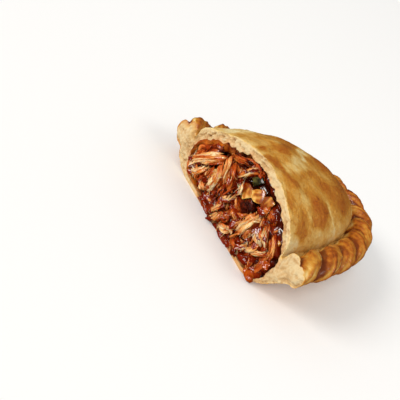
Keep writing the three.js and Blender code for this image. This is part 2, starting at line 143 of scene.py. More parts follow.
# Shreds of meat as they lie on the cut, in mm: points as x, z, then width, tone and lift
SHREDS = (
    (((-23.9, 4.2), (-20.3, 8.8), (-15.3, 13.5), (-10.1, 18.7)), 2.5, 0.72, 1.3),
    (((-22.6, 4.4), (-17.6, 10.0), (-13.6, 13.6), (-9.9, 17.6)), 2.0, 0.5, 0.9),
    (((-20.2, 2.6), (-17.0, 6.3), (-13.9, 11.4)), 1.8, 0.74, 1.3),
    (((-19.0, 6.8), (-17.2, 5.6), (-15.6, 3.2)), 1.8, 0.5, 0.8),
    (((-10.6, 15.2), (-8.6, 12.6), (-8.2, 9.2), (-9.2, 4.6)), 2.6, 0.78, 1.9),
    (((-8.9, 20.0), (-7.6, 17.6), (-6.2, 14.4), (-4.9, 11.6)), 2.2, 0.54, 1.4),
    (((-6.2, 20.0), (-4.6, 17.2), (-2.9, 14.2), (-2.0, 11.8)), 2.0, 0.5, 1.1),
    (((-12.4, 12.6), (-12.0, 9.6), (-13.2, 6.4)), 1.8, 0.38, 0.6),
    (((-8.6, 20.9), (-5.1, 22.4), (-1.9, 23.6), (1.4, 24.4)), 2.2, 0.34, 0.5),
    (((3.6, 25.0), (1.1, 22.6), (-0.5, 20.1), (-2.3, 17.5)), 1.7, 0.66, 1.2),
    (((-2.5, 7.8), (0.2, 10.2), (1.4, 13.4)), 1.8, 0.66, 1.3),
    (((-3.0, 1.7), (-1.0, 5.4), (0.2, 8.8)), 1.2, 0.72, 1.6),
    (((-1.6, -0.8), (0.5, 2.6), (1.5, 6.2)), 1.8, 0.62, 1.7),
    (((3.2, 8.4), (4.1, 6.2), (3.0, 3.8)), 2.0, 0.46, 0.9),
    (((3.4, 12.4), (5.4, 10.6), (8.4, 11.6), (10.4, 14.6)), 1.0, 0.62, 1.5),
    (((4.0, 10.4), (5.6, 9.2), (7.4, 9.0)), 2.0, 0.5, 1.1),
    (((13.0, 17.0), (12.1, 13.9), (10.9, 10.3), (10.0, 6.0)), 2.5, 0.7, 1.8),
    (((3.0, 1.8), (6.0, 3.3), (9.0, 5.2)), 1.9, 0.78, 1.5),
    (((12.4, 16.4), (13.7, 19.2), (14.8, 21.2)), 1.9, 0.38, 0.8),
    (((16.8, 16.2), (18.7, 13.8), (21.6, 12.0)), 1.9, 0.68, 1.5),
    (((15.6, 14.8), (17.0, 12.2), (19.4, 10.8)), 2.1, 0.84, 1.7),
    (((17.6, 6.6), (21.0, 9.0), (23.4, 12.0)), 1.4, 0.64, 1.2),
    (((13.2, 3.0), (15.0, 5.0), (16.8, 7.2)), 1.6, 0.74, 1.2),
    (((18.2, 12.0), (18.1, 8.6), (16.8, 5.0)), 1.5, 0.6, 1.3),
    (((16.6, 17.6), (19.0, 15.8), (21.6, 13.8)), 2.0, 0.3, 0.8),
    (((-14.6, 9.2), (-12.2, 8.0), (-9.8, 7.2)), 1.3, 0.6, 0.4),
    (((-13.6, 5.2), (-11.6, 4.2), (-9.8, 4.6)), 1.6, 0.6, 0.8),
    (((-4.8, 12.2), (-3.6, 9.6), (-2.2, 7.2)), 1.9, 0.34, 0.7),
    (((13.4, 20.4), (16.2, 19.8), (18.6, 18.6)), 2.0, 0.3, 0.4),
    (((14.8, 12.8), (16.2, 10.6), (16.0, 8.0)), 1.7, 0.4, 0.5),
    (((10.2, 4.4), (12.0, 2.8), (13.4, 2.2)), 1.6, 0.38, 0.8),
    (((18.6, 6.6), (20.4, 4.6), (20.8, 2.6)), 1.8, 0.38, 0.7),
    (((20.4, 17.2), (22.8, 14.6), (24.4, 11.2)), 1.9, 0.34, 1.0),
    (((22.6, 10.8), (23.8, 7.6), (23.2, 4.4)), 1.8, 0.44, 1.0),
    (((12.2, 12.6), (13.6, 10.4), (13.2, 7.2)), 1.7, 0.5, 1.1),
    (((9.4, 10.2), (8.0, 8.2), (8.4, 5.8)), 1.7, 0.4, 0.7),
    (((-5.4, 21.4), (-2.4, 20.6), (0.8, 21.6)), 3.0, 0.2, -1.4),
    (((-1.2, 23.6), (1.6, 24.2), (4.4, 24.6)), 2.6, 0.24, -1.0),
    (((-23.0, 9.4), (-18.6, 14.4), (-13.4, 18.8)), 3.2, 0.25, -1.8),
    (((0.6, 18.2), (1.8, 16.5), (3.3, 14.6)), 1.2, 0.86, 1.9),
    (((2.4, 13.2), (4.4, 12.0), (7.3, 10.9)), 1.1, 0.48, 1.9),
)

# Lumps of meat, in mm: x, z, half width, half height, turn in degrees, tone, lift
LUMPS = (
    (4.2, 24.6, 1.5, 1.2, 20, 0.36, 0.6),
    (-4.6, 4.2, 2.8, 2.0, 0, 0.2, 0.6),
    (-1.4, 8.0, 1.8, 1.6, 40, 0.46, 0.8),
    (5.6, 9.0, 1.8, 1.4, 15, 0.5, 1.0),
    (24.4, 9.2, 1.6, 2.4, 10, 0.16, 0.6),
    (14.6, 18.2, 2.4, 1.6, -25, 0.22, 0.1),
    (-7.0, 12.0, 1.6, 2.2, 10, 0.3, 0.2),
    (-16.4, 10.6, 1.8, 2.6, -40, 0.3, 0.1),
    (-6.6, 6.6, 1.6, 1.4, 0, 0.3, 0.6),
    (-1.0, 12.6, 1.5, 1.9, 0, 0.12, 0.0),
    (14.4, 8.2, 1.8, 2.3, 10, 0.06, 0.0),
    (23.6, 7.2, 1.7, 2.6, 0, 0.08, 0.3),
)

# Pieces of onion, in mm: corners as x, z, then lift, how pale they are, and the turn of their
# paler side in degrees
ONIONS = (
    (((1.7, 18.7), (2.9, 19.8), (5.1, 19.3), (7.1, 17.6), (4.9, 15.2), (3.3, 16.4)), 1.7, 0.4, -45),
    # The paler side of this piece is a painted highlight.
    (
        ((5.3, 19.2), (7.9, 22.2), (9.9, 21.8), (11.0, 18.9), (8.7, 17.7), (6.8, 17.9)),
        1.7, 0.44, -131,
    ),
    (
        ((10.2, 21.5), (11.6, 22.7), (14.1, 22.5), (14.3, 20.7), (12.1, 18.6), (11.1, 18.9)),
        1.2, 0.14, 90,
    ),
    (((22.8, 17.2), (24.0, 16.9), (24.2, 16.0), (23.0, 16.1)), 1.2, 0.4, 90),
    (((-11.6, 12.4), (-10.0, 12.6), (-9.8, 10.0), (-11.2, 9.6)), 1.8, 0.6, 120),
    (((-2.2, 6.0), (-0.7, 5.8), (-0.6, 3.4), (-1.9, 3.2)), 1.8, 0.5, 120),
)

# Pieces of green pepper and herb, in mm, given as the onion is
GREENS = (
    (((2.5, 21.8), (4.7, 24.4), (6.8, 23.6), (5.0, 20.4)), 1.0, 0.2, -150),
    (((13.9, 8.6), (14.8, 8.2), (14.6, 7.2), (13.8, 7.4)), 1.3, 0.35, 90),
)

# Outline of the dark chunk of meat, in mm: corners as x, z
CHUNK = (
    (3.6, 13.8), (7.5, 17.8), (8.9, 17.2), (10.3, 15.4), (9.6, 12.7), (7.5, 11.1), (4.7, 11.7),
)

# Outline of the hollow under the crust as the camera sees it, in mm: corners as x, z
HOLLOW = (
    (-26.0, 7.4), (-25.9, 10.3), (-22.3, 15.6), (-17.9, 20.6), (-13.0, 22.4), (-9.3, 21.4),
    (-18.6, 14.1),
)

# Outlines that are kept free of small shreds and strands
KEPT_FREE = (HOLLOW, CHUNK, ONIONS[0][0], ONIONS[1][0], GREENS[0][0])

# Drops and pools of sauce, in mm: x, z, half width, half height, lift, level
DROPS = (
    (23.2, 2.2, 2.0, 1.9, 1.6, 0.8),
    (21.6, 2.0, 1.3, 1.0, 1.2, 0.75),
    (24.6, 4.6, 1.6, 1.7, 0.8, 0.6),
    (21.2, 4.6, 1.6, 1.5, 0.8, 0.4),
    (17.4, 3.0, 2.6, 1.2, 0.9, 0.4),
    (13.0, 4.6, 1.8, 1.5, 0.6, 0.4),
    (-5.6, 3.2, 2.2, 1.2, 0.9, 0.35),
    (-8.2, 3.0, 1.7, 1.1, 0.8, 0.3),
    (-5.8, 6.2, 1.3, 1.0, 0.9, 0.4),
    (0.7, 5.4, 1.2, 1.0, 0.9, 0.4),
    (-2.2, 2.6, 1.2, 0.9, 1.2, 0.4),
    (9.0, 3.2, 1.8, 1.0, 0.9, 0.35),
    (4.6, 5.4, 1.2, 0.9, 1.2, 0.45),
    (7.4, 7.1, 1.1, 0.9, 1.9, 0.5),
    (14.7, 4.3, 1.0, 0.8, 1.7, 0.5),
    (20.8, 6.3, 1.0, 0.9, 1.7, 0.45),
    (25.6, 9.2, 0.9, 1.3, 1.4, 0.4),
    (12.8, 18.4, 0.9, 0.8, 1.8, 0.5),
    (0.2, 18.2, 0.8, 0.6, 1.8, 0.45),
    (-19.4, 4.2, 0.9, 0.6, 1.9, 0.6),
)

# Broad glints on the wet shreds, in mm: x, z, half length, half width
GLINTS = (
    (7.4, 7.1, 1.6, 0.9),
    (14.7, 4.3, 1.6, 0.9),
    (20.8, 6.3, 1.3, 0.8),
    (24.8, 9.2, 1.1, 1.0),
    (12.8, 18.4, 1.4, 1.0),
    (-6.1, 4.8, 1.6, 0.9),
    (0.1, 18.2, 1.3, 0.7),
    (-19.4, 4.1, 1.3, 0.8),
    (-2.4, 2.4, 1.0, 0.7),
    (16.4, 13.4, 1.1, 0.6),
    (4.6, 4.4, 1.0, 0.6),
    (-13.0, 5.2, 1.1, 0.7),
    (18.0, 9.4, 1.0, 0.6),
    (23.6, 2.0, 0.9, 0.6),
    (24.1, 4.1, 1.0, 0.7),
)


def length(name, description, size):
    """A length that is given in millimetres."""
    return FloatProperty(
        name=name, description=description, default=size * MM, unit="LENGTH", precision=5
    )


def amount(name, description, value):
    """A plain number."""
    return FloatProperty(name=name, description=description, default=value)


def angle(name, description, degrees):
    """An angle that is given in degrees."""
    return FloatProperty(
        name=name, description=description, default=math.radians(degrees), subtype="ANGLE"
    )


def count(name, description, value):
    """A number of pieces or steps."""
    return IntProperty(name=name, description=description, default=value, min=1)


def direction(name, description, *towards):
    """A direction in the frame."""
    return FloatVectorProperty(
        name=name, description=description, default=towards, size=3, subtype="DIRECTION"
    )


def linear(level):
    """A display value from 0 to 255 as a linear one."""
    share = level / 255
    return share / 12.92 if share <= 0.04045 else ((share + 0.055) / 1.055) ** 2.4


def colour(name, description, red, green, blue):
    """A colour that is given in display values from 0 to 255."""
    return FloatVectorProperty(
        name=name,
        description=description,
        default=(linear(red), linear(green), linear(blue)),
        size=3,
        subtype="COLOR",
        min=0,
        max=1,
    )


class CrustForm(PropertyGroup):
    """Sizes of the crust, which are those of its solid."""

    half_width: length("Half width", "Half of the dome's width at the cut", 26.5)
    depth: length("Depth", "Length of the dome from the cut to the back", 58.6)
    height: length("Height", "Height of the dome's top", 29.1)
    seam_height: length("Seam height", "Height at which the dome meets the rope", 14.9)
    plan_power: amount("Outline power", "Fullness of the outline from above", 2.34)
    plan_lean: amount("Outline lean", "Sideways lean of the outline with depth", -0.096)
    dome_power: amount("Dome power", "Fullness of the dome", 1.73)
    dome_softness: amount("Dome softness", "Roundness of the dome's top", 0.14)
    cut_shift: length("Cut shift", "Pull of the cut edge to one side", 2.1)
    cut_shift_reach: length("Cut shift reach", "Depth over which the pull fades", 16)
    sag: length("Sag", "Sag of the crust over the empty pocket", 3.2)
    roof_sag: length("Roof sag", "Sag of the cavity's roof over the pocket", 0.7)
    fold_drop: length("Fold drop", "Drop of the dough that is folded inside the roof", 7)
    fold_depth: length("Fold depth", "Depth behind the cut at which it hangs lowest", 4)
    fold_evenness: amount("Fold evenness", "How evenly the fold hangs over the pocket", 0.6)
    fold_room: amount("Fold room", "Drop of the filling under the fold for each mm of gap", 2)
    sag_reach: length("Sag reach", "Depth over which the sag fades", 6.6)
    rope_reach: length("Rope reach", "Distance of the rope's middle from the seam", 5.6)
    rope_height: length("Rope height", "Height of the rope's middle", 13.4)
    rope_tilt: length("Rope tilt", "Rise of the rope to one end of the cut", 2.3)
    rope_radius: length("Rope radius", "Radius of the rope over a pleat", 4.5)
    rope_inner: angle("Rope inner angle", "Where the rope starts at the crease", 155)
    rope_under: angle("Rope under angle", "Where the rope meets the base", -80)
    crease_reach: length("Crease reach", "Distance of the crease from the seam", 0.9)
    crease_depth: length("Crease depth", "Depth of the crease", 0.8)
    crevice: length("Crevice", "Further depth of the crease between two pleats", 1.5)
    end_swell: amount("End swell", "Swelling of the rope at one end of the cut", 0.26)
    end_swell_length: length("End swell length", "Length of that swelling", 9)
    first_pleat: length("First pleat", "Place of the first pleat along the rope", 6.7)
    pleat_pitch: length("Pleat pitch", "Length of the rope for each pleat", 11.5)
    pleat_depth: amount("Pleat depth", "Depth of a groove as a share of the radius", 0.5)
    pleat_twist: amount("Pleat twist", "Slant of the pleats round the rope", 1.85)
    pleat_roundness: amount("Pleat roundness", "Plumpness of a pleat", 2.2)
    pleat_overlap: amount("Pleat overlap", "Steepness of a pleat's far side", 1.4)
    pleat_crest: amount("Pleat crest", "Place of the crest within a pleat", 0.58)
    pleat_low: amount("Low pleats", "Share of a groove's depth that is left under the rope", 0.2)
    pleat_low_end: angle("Low pleats end", "Where round the rope the grooves are shallowest", -50)
    pleat_high_end: angle("High pleats end", "Where round the rope the grooves are deepest", 65)
    pleat_lip: amount("Pleat lip", "Height of the lip as a share of the radius", 0.05)
    base_power: amount("Base power", "How late the base curves up to the rope", 6.75)
    base_flat: amount("Base flat", "Share of the base that is flat", 0.6)
    base_start: amount("Base start", "Share at which the base leaves the rope", 0.97)
    crust_top: length("Crust top", "Thickness of the crust at the top", 3.3)
    crust_side: length("Crust side", "Inset of the cavity at the sides", 0.3)
    crust_base: length("Crust base", "Thickness of the base", 1.3)
    cavity_shift: length("Cavity shift", "Sideways place of the cavity", 0.9)
    cavity_seam: length("Cavity seam", "Height at which the cavity is widest", 9.5)
    cavity_power: amount("Cavity power", "How late the cavity's floor curves up", 18)
    relief: length("Relief", "Unevenness of the baked surface", 0.4)
    crumb_relief: length("Crumb relief", "Unevenness of the cut crumb", 0.62)
    stub_bulge: length("Stub bulge", "Bulge of the torn dough at the rope's ends", 1.3)
    dome_rings: count("Dome rings", "Rings of the dome", 92)
    rope_segments: count("Rope segments", "Segments along the rope", 480)
    rope_steps: count("Rope steps", "Steps round the rope", 44)


class CrustLook(PropertyGroup):
    """Colours of the crust."""

    # The browning ramp from pale to dark also carries painted light and shade: shade in the rope's
    # grooves, the crease and the far sides of the dome, and light on the first pleat.
    pale: colour("Pale", "Crust that is hardly browned", 238, 218, 160)
    straw: colour("Straw", "Lightly browned crust", 224, 180, 97)
    golden: colour("Golden", "Golden crust", 200, 136, 42)
    brown: colour("Brown", "Browned crust", 174, 93, 16)
    dark: colour("Dark", "Darkest blisters", 120, 52, 8)
    crumb: colour("Crumb", "Cut dough", 207, 182, 136)
    # Crumb shade and deep crumb are also reached where shade is painted into the hollows, cracks
    # and seam of the cut dough.
    crumb_shade: colour("Crumb shade", "Pores and layers of the cut dough", 194, 158, 106)
    crumb_deep: colour("Deep crumb", "Crevices of the cut dough", 150, 106, 58)
    stain_light: colour("Light stain", "Dough stained by the sauce", 234, 124, 22)
    stain_dark: colour("Dark stain", "Dough soaked by the sauce", 104, 14, 0)
    roughness: amount("Roughness", "Roughness of the glazed crust", 0.42)


class FillingForm(PropertyGroup):
    """Sizes and numbers of the filling's pieces."""

    gap: length("Gap", "Gap between the filling and the crust", 0.3)
    recess: length("Recess", "Depth of the sauce behind the cut", 1.5)
    bump: length("Bump", "Lumps of the sauce's front", 0.7)
    bump_wave: amount("Bump wave", "Spacing of those lumps, in radians for each mm", 0.9)
    fade: length("Fade", "Depth over which the front's shape fades", 12)
    core_step: length("Core step", "Spacing of the points on the core's front", 0.26)
    sink: length("Sink", "Depth of a shred's ends", 2.6)
    fibre_radius: length("Fibre radius", "Radius of a loose fibre on a shred", 0.17)
    mid_shreds: count("Mid shreds", "Number of smaller shreds", 64)
    fine_strands: count("Fine strands", "Number of fine strands", 170)
    fine_radius: length("Fine radius", "Radius of a fine strand", 0.26)
    petal_tilt: amount("Petal tilt", "How far the pieces of vegetable lean back", 0.26)
    chunk_lift: length("Chunk lift", "How far the dark chunk stands out of the sauce", 1.3)
    chunk_thickness: length("Chunk thickness", "Half of the dark chunk's thickness", 1.2)
    films: count("Films", "Number of films of sauce on the shreds", 84)
    glint_reach: length("Glint reach", "Distance from which a glint lies on a shred", 1.6)
    drop_front: length("Drop front", "How far the large drops stand out of the sauce", 2.9)
    glint_thickness: length("Glint thickness", "Half thickness of the films that shine", 0.3)
    lip_drops: count("Lip drops", "Number of lumps of sauce over the edge of the base", 9)
    seed: count("Seed", "Start of the scattered pieces' draws", 7)


class FillingLook(PropertyGroup):
    """Colours of the filling."""

    # Dark sauce is also painted as shade where the core's front lies back between the shreds.
    sauce_dark: colour("Dark sauce", "Sauce in the deep", 46, 8, 0)
    sauce: colour("Sauce", "Sauce on top", 120, 25, 0)
    sauce_light: colour("Light sauce", "Thin, oily sauce", 186, 82, 10)
    meat_dark: colour("Dark meat", "Soaked meat", 48, 10, 2)
    meat_red: colour("Red meat", "Meat under sauce", 150, 50, 6)
    meat: colour("Meat", "Meat with a little sauce", 208, 108, 36)
    meat_tan: colour("Tan meat", "Dry strands", 247, 186, 115)
    meat_pale: colour("Pale meat", "Palest strands", 255, 228, 184)
    # The glaze is partly painted shade: it is laid deeper on the sides of the shreds turned from
    # the light and in the grooves between their ridges.
    glaze: colour("Glaze", "Tint of the sauce that clings to the meat", 230, 150, 72)
    onion_dark: colour("Dark onion", "Onion that is soaked with sauce", 136, 62, 16)
    onion: colour("Onion", "Cooked onion", 184, 114, 36)
    # Light onion is also painted as a highlight on the paler side of the second onion piece.
    onion_light: colour("Light onion", "Thin edges of onion", 222, 174, 96)
    green: colour("Green", "Pepper and herb", 36, 32, 8)
    green_light: colour("Light green", "Lighter pepper", 108, 104, 48)


class StageLook(PropertyGroup):
    """Camera, lights and floor."""

    azimuth: angle("Azimuth", "Turn of the camera round the half", 30.86)
    elevation: angle("Elevation", "Height of the camera", 24.104)
    roll: angle("Roll", "Roll of the camera", 40.309)
    distance: length("Distance", "Distance of the camera from its target", 167.7)
    lens: FloatProperty(
        name="Lens", description="Focal length of the camera", default=42.53, unit="CAMERA"
    )
    target_across: amount("Target across", "Where the target lies across the picture", 0.725)
    target_down: amount("Target down", "Where the target lies down the picture", 0.5045)
    floor_size: length("Floor size", "Length of the floor", 60000)
    floor_rim: length("Floor rim", "Height to which the floor rises at its far edge", 1500)
    floor: colour("Floor", "Colour of the floor", 251, 251, 250)
    key: amount("Key", "Strength of the key light", 1.8)
    key_softness: angle("Key softness", "Width of the key light as seen from the half", 22)
    key_from: direction(
        "Key from", "Direction from which the key light comes", -0.32, -0.95, 0.52
    )
    fill: amount("Fill", "Strength of the fill light", 0.44)
    fill_softness: angle("Fill softness", "Width of the fill light as seen from the half", 22)
    fill_from: direction(
        "Fill from", "Direction from which the fill light comes", 0.75, 0.3, 0.8
    )
    spark: amount("Spark", "Strength of the small light near the camera", 0.8)
    spark_softness: angle("Spark softness", "Width of the small light as seen from the half", 12)
    spark_from: direction(
        "Spark from", "Direction from which the small light comes", 0.3, -0.8, 0.62
    )
    sky: amount("Sky", "Strength of the light from all round", 0.56)


def values_of(group):
    """The settings of a group by name, with lengths in millimetres."""
    found = {}
    for key, rule in group.bl_rna.properties.items():
        if key not in ("rna_type", "name"):
            value = getattr(group, key)
            found[key] = value / MM if rule.unit == "LENGTH" else value
    return SimpleNamespace(**found)


def ripple(points, size, seed):
    """Smooth noise from -1 to 1 at each point, with features of about this size."""
    shift = Vector((17.3 * seed, 5.7 * seed, 11.9 * seed))
    return np.array([noise.noise(Vector(point) / size + shift) for point in points])


def rise(value, low, high):
    """0 below low, 1 above high, and smooth between."""
    share = np.clip((value - low) / (high - low), 0, 1)
    return share * share * (3 - 2 * share)


def normals_of(points, faces):
    """Direction straight out of the surface at each point."""
    corners = points[faces]
    flat = np.cross(corners[:, 1] - corners[:, 0], corners[:, 2] - corners[:, 0])
    total = np.zeros_like(points)
    for corner in range(3):
        np.add.at(total, faces[:, corner], flat)
    return total / np.linalg.norm(total, axis=1, keepdims=True).clip(1e-12)


def across_and_along(turn):
    """Cosine and sine of a turn round the outline, with no depth in the cut."""
    in_cut = (turn <= 0) | (turn >= math.pi)
    return np.cos(turn), np.where(in_cut, 0, np.maximum(np.sin(turn), 0))


def behind(places, depth):
    """Places [x, z] on the cut as points at a depth behind it."""
    return np.stack([places[:, 0], np.broadcast_to(depth, len(places)), places[:, 1]], axis=-1)


class Form:
    """Surfaces of the crust, in millimetres from the middle of the cut."""

    def __init__(self, settings):
        self.s = values_of(settings)
        turns = np.linspace(0, math.pi, 4001)
        x, y = self.plan(turns, self.s.rope_reach, 1)
        along = np.concatenate([[0], np.cumsum(np.hypot(np.diff(x), np.diff(y)))])
        self.rim_turns = turns
        self.rim_shares = along / along[-1]
        self.rim_length = along[-1]

    def turn_at(self, share):
        """The turn at a share of the way along the rope."""
        return np.interp(share, self.rim_shares, self.rim_turns)

    def plan(self, turn, reach, share):
        """The outline from above, with its half axes moved out by reach and scaled by share."""
        s = self.s
        power = 2 / s.plan_power
        across, along = across_and_along(turn)
        x = share * (s.half_width + reach) * np.sign(across) * np.abs(across) ** power
        y = share * (s.depth + reach) * along**power
        return x + s.plan_lean * y, y

    def outward(self, turn):
        """Direction straight out of the outline."""
        s = self.s
        power = 2 - 2 / s.plan_power
        across, along = across_and_along(turn)
        x = np.sign(across) * np.abs(across) ** power / (s.half_width + s.rope_reach)
        y = along**power / (s.depth + s.rope_reach)
        size = np.hypot(x, y)
        return x / size, y / size

    def rope_middle(self, turn):
        """Height of the rope's middle."""
        return self.s.rope_height + self.s.rope_tilt * np.cos(turn)

    def dome_rise(self, share):
        """Rise of the dome over its seam, from 1 in the middle to 0 at the seam."""
        s = self.s

        def soften(place):
            return (place**2 + s.dome_softness**2) ** (s.dome_power / 2)

        top = np.maximum(soften(1) - soften(share), 0)
        return np.sqrt(top / (soften(1) - soften(0)))

    def dome_shares(self, rings):
        """Shares of the way out at which the dome's rings lie."""
        steps = np.arange(rings + 1) / rings
        return np.sin(math.pi / 2 * steps) ** (2 / self.s.dome_power)

    def shell(self, inset):
        """Sizes of the outer dome, or of the cavity made smaller by an inset."""
        s = self.s
        if inset is None:
            return SimpleNamespace(
                reach=0,
                shift=0,
                seam=s.seam_height,
                top=s.height,
                sag=s.sag,
                fold=0,
                blistered=True,
            )
        return SimpleNamespace(
            reach=-s.crust_side - inset,
            shift=s.cavity_shift,
            seam=s.cavity_seam,
            top=s.height - s.crust_top - inset,
            floor=s.crust_base + inset,
            sag=s.roof_sag,
            fold=s.fold_drop + s.fold_room * inset,
            blistered=False,
        )

    def over_pocket(self, turn, share, shell):
        """How far over the empty pocket a place on the dome lies, from 0 to 1."""
        x, _ = self.plan(turn, shell.reach, share)
        across = np.clip(x / (self.s.half_width + shell.reach), -1, 1)
        return np.maximum(-across, 0) * (1 - share**6)

    def hanging(self, y, over, shell):
        """How far the crust hangs down over the pocket, and its fold with it."""
        s = self.s
        folded = (y / s.fold_depth) ** 2
        sag = shell.sag * np.exp(-y / s.sag_reach) * over
        return sag + shell.fold * folded * np.exp(1 - folded) * over**s.fold_evenness

    def dome(self, turn, share, shell):
        """Points of the dome, or of the cavity's roof."""
        s = self.s
        x, y = self.plan(turn, shell.reach, share)
        across = np.clip(x / (s.half_width + shell.reach), -1, 1)
        lifted = self.dome_rise(share)
        z = shell.seam + (shell.top - shell.seam) * lifted
        if shell.blistered:
            for spot_x, spot_y, radius, height in BLISTERS:
                away = np.hypot(x - spot_x, y - spot_y) / radius
                z = z + height * np.exp(-2 * away * away) * lifted
        z = z - self.hanging(y, self.over_pocket(turn, share, shell), shell)
        x = x + s.cut_shift * (1 - across * across) * np.exp(-y / s.cut_shift_reach)
        return np.stack([x + shell.shift, y, z], axis=-1)

    def pleat_phase(self, share, turn_round):
        """Number of the pleat at a place on the rope, and the share of it as its fraction."""
        s = self.s
        slant = s.pleat_twist * (math.pi / 2 - turn_round) / (2 * math.pi)
        return (share * self.rim_length - s.first_pleat) / s.pleat_pitch + s.pleat_crest + slant

    def pleat(self, phase):
        """Height of a pleat, and the mask of the thin lip on its far side."""
        s = self.s
        part = phase - np.floor(phase)
        lobe = 1 - np.abs(2 * part**s.pleat_overlap - 1) ** s.pleat_roundness
        lip = np.exp(-(((part - LIP_PLACE) / LIP_WIDTH) ** 2))
        return lobe, lip

    def rope(self, share, turn_round, uneven=True):
        """Points along the rope at one turn round it."""
        s = self.s
        turn = self.turn_at(share)
        phase = self.pleat_phase(share, turn_round)
        high = rise(turn_round, s.pleat_low_end, s.pleat_high_end)
        depth = s.pleat_depth * (s.pleat_low + (1 - s.pleat_low) * high)
        if uneven:
            number = np.floor(phase)
            depth = depth * (1 + GROOVE_SPREAD * np.sin(3.7 * number + 1.2))
        lobe, lip = self.pleat(phase)
        end = (1 - share) * self.rim_length / s.end_swell_length
        swell = 1 + s.end_swell * np.exp(-end * end)
        radius = s.rope_radius * swell * (1 - depth * (1 - lobe))
        if uneven:
            radius = radius + s.rope_radius * s.pleat_lip * lip * high
        x, y = self.plan(turn, s.rope_reach, 1)
        out_x, out_y = self.outward(turn)
        out = radius * math.cos(turn_round)
        z = self.rope_middle(turn) + radius * math.sin(turn_round)
        return np.stack([x + out_x * out, y + out_y * out, z], axis=-1)

    def crease(self, share):
        """Points along the crease between the dome and the rope."""
        s = self.s
        turn = self.turn_at(share)
        x, y = self.plan(turn, s.crease_reach, 1)
        z = (s.seam_height + self.rope_middle(turn)) / 2 - s.crease_depth
        return np.stack([x, y, z], axis=-1)

    def base(self, turn, share):
        """Points of a ring of the base."""
        s = self.s
        x, y = self.plan(turn, s.rope_reach, share)
        flat = s.base_flat**s.base_power
        lifted = max(share**s.base_power - flat, 0) / (1 - flat)
        z = (self.rope_middle(turn) - s.rope_radius) * lifted
        return np.stack([x, y, z], axis=-1)

    def cavity_base(self, turn, share, shell):
        """Points of a ring of the cavity's floor."""
        points = self.dome(turn, share, shell)
        points[:, 2] = shell.floor + (shell.seam - shell.floor) * share**self.s.cavity_power
        return points

    def cavity_rings(self, rings, inset):
        """Rings of the cavity from roof to floor, and how far each lies over the pocket."""
        shell = self.shell(inset)
        found = []
        for step, share in enumerate(self.dome_shares(rings)):
            turn = self.turn_at(spread(RING_STEP * step))
            found.append((self.dome(turn, share, shell), self.over_pocket(turn, share, shell)))
        for step in range(rings - 1, -1, -1):
            share = (step / rings) ** FLOOR_CROWD
            turn = self.turn_at(spread(RING_STEP * step))
            found.append((self.cavity_base(turn, share, shell), 0.0))
        return found


def spread(segments):
    """Even shares from 0 to 1, or a single 0 for no segments."""
    return np.linspace(0, 1, segments + 1)


class Skin:
    """Rings of points, stitched one to the next."""

    def __init__(self):
        self.points = []
        self.faces = []
        self.rings = []
        self.marks = {}

    def size(self):
        """Number of points so far."""
        return sum(len(ring) for ring in self.rings)

    def ring(self, points, **marks):
        """Adds a ring, with a value of each mark for it or for each of its points."""
        start = self.size()
        self.rings.append(np.arange(start, start + len(points)))
        self.points.append(points)
        for key, value in marks.items():
            self.marks.setdefault(key, []).append(np.broadcast_to(value, len(points)))

    def stitch(self):
        """Faces between each ring and the next, which may have different numbers of points."""
        for inner, outer in zip(self.rings, self.rings[1:]):
            inner_steps, outer_steps = len(inner) - 1, len(outer) - 1
            i = o = 0
            while i < inner_steps or o < outer_steps:
                ahead = o == outer_steps or (i + 1) * outer_steps < (o + 1) * inner_steps
                if i < inner_steps and ahead:
                    self.faces.append((inner[i], outer[o], inner[i + 1]))
                    i += 1
                else:
                    self.faces.append((inner[i], outer[o], outer[o + 1]))
                    o += 1
        marks = {key: np.concatenate(value) for key, value in self.marks.items()}
        return np.concatenate(self.points), np.array(self.faces), marks

    def cut_loop(self):
        """The loop that the ends of the rings make in the cut."""
        first = [ring[0] for ring in self.rings]
        last = [ring[-1] for ring in self.rings if len(ring) > 1]
        return np.array(first + last[::-1])


def inside(places, loop):
    """Which of the places [x, z] lie inside a loop."""
    found = np.zeros(len(places), bool)
    for start, end in zip(loop, np.roll(loop, -1, axis=0)):
        crosses = (start[1] > places[:, 1]) != (end[1] > places[:, 1])
        if crosses.any():
            run, climb = end[0] - start[0], (end[1] - start[1]) or 1
            at = start[0] + (places[:, 1] - start[1]) * run / climb
            found ^= crosses & (places[:, 0] < at)
    return found


def nearest(places, loop):
    """Distance of each place from the nearest point of a loop."""
    gaps = places[:, None, :] - loop[None, :, :]
    return np.sqrt((gaps * gaps).sum(axis=2)).min(axis=1)


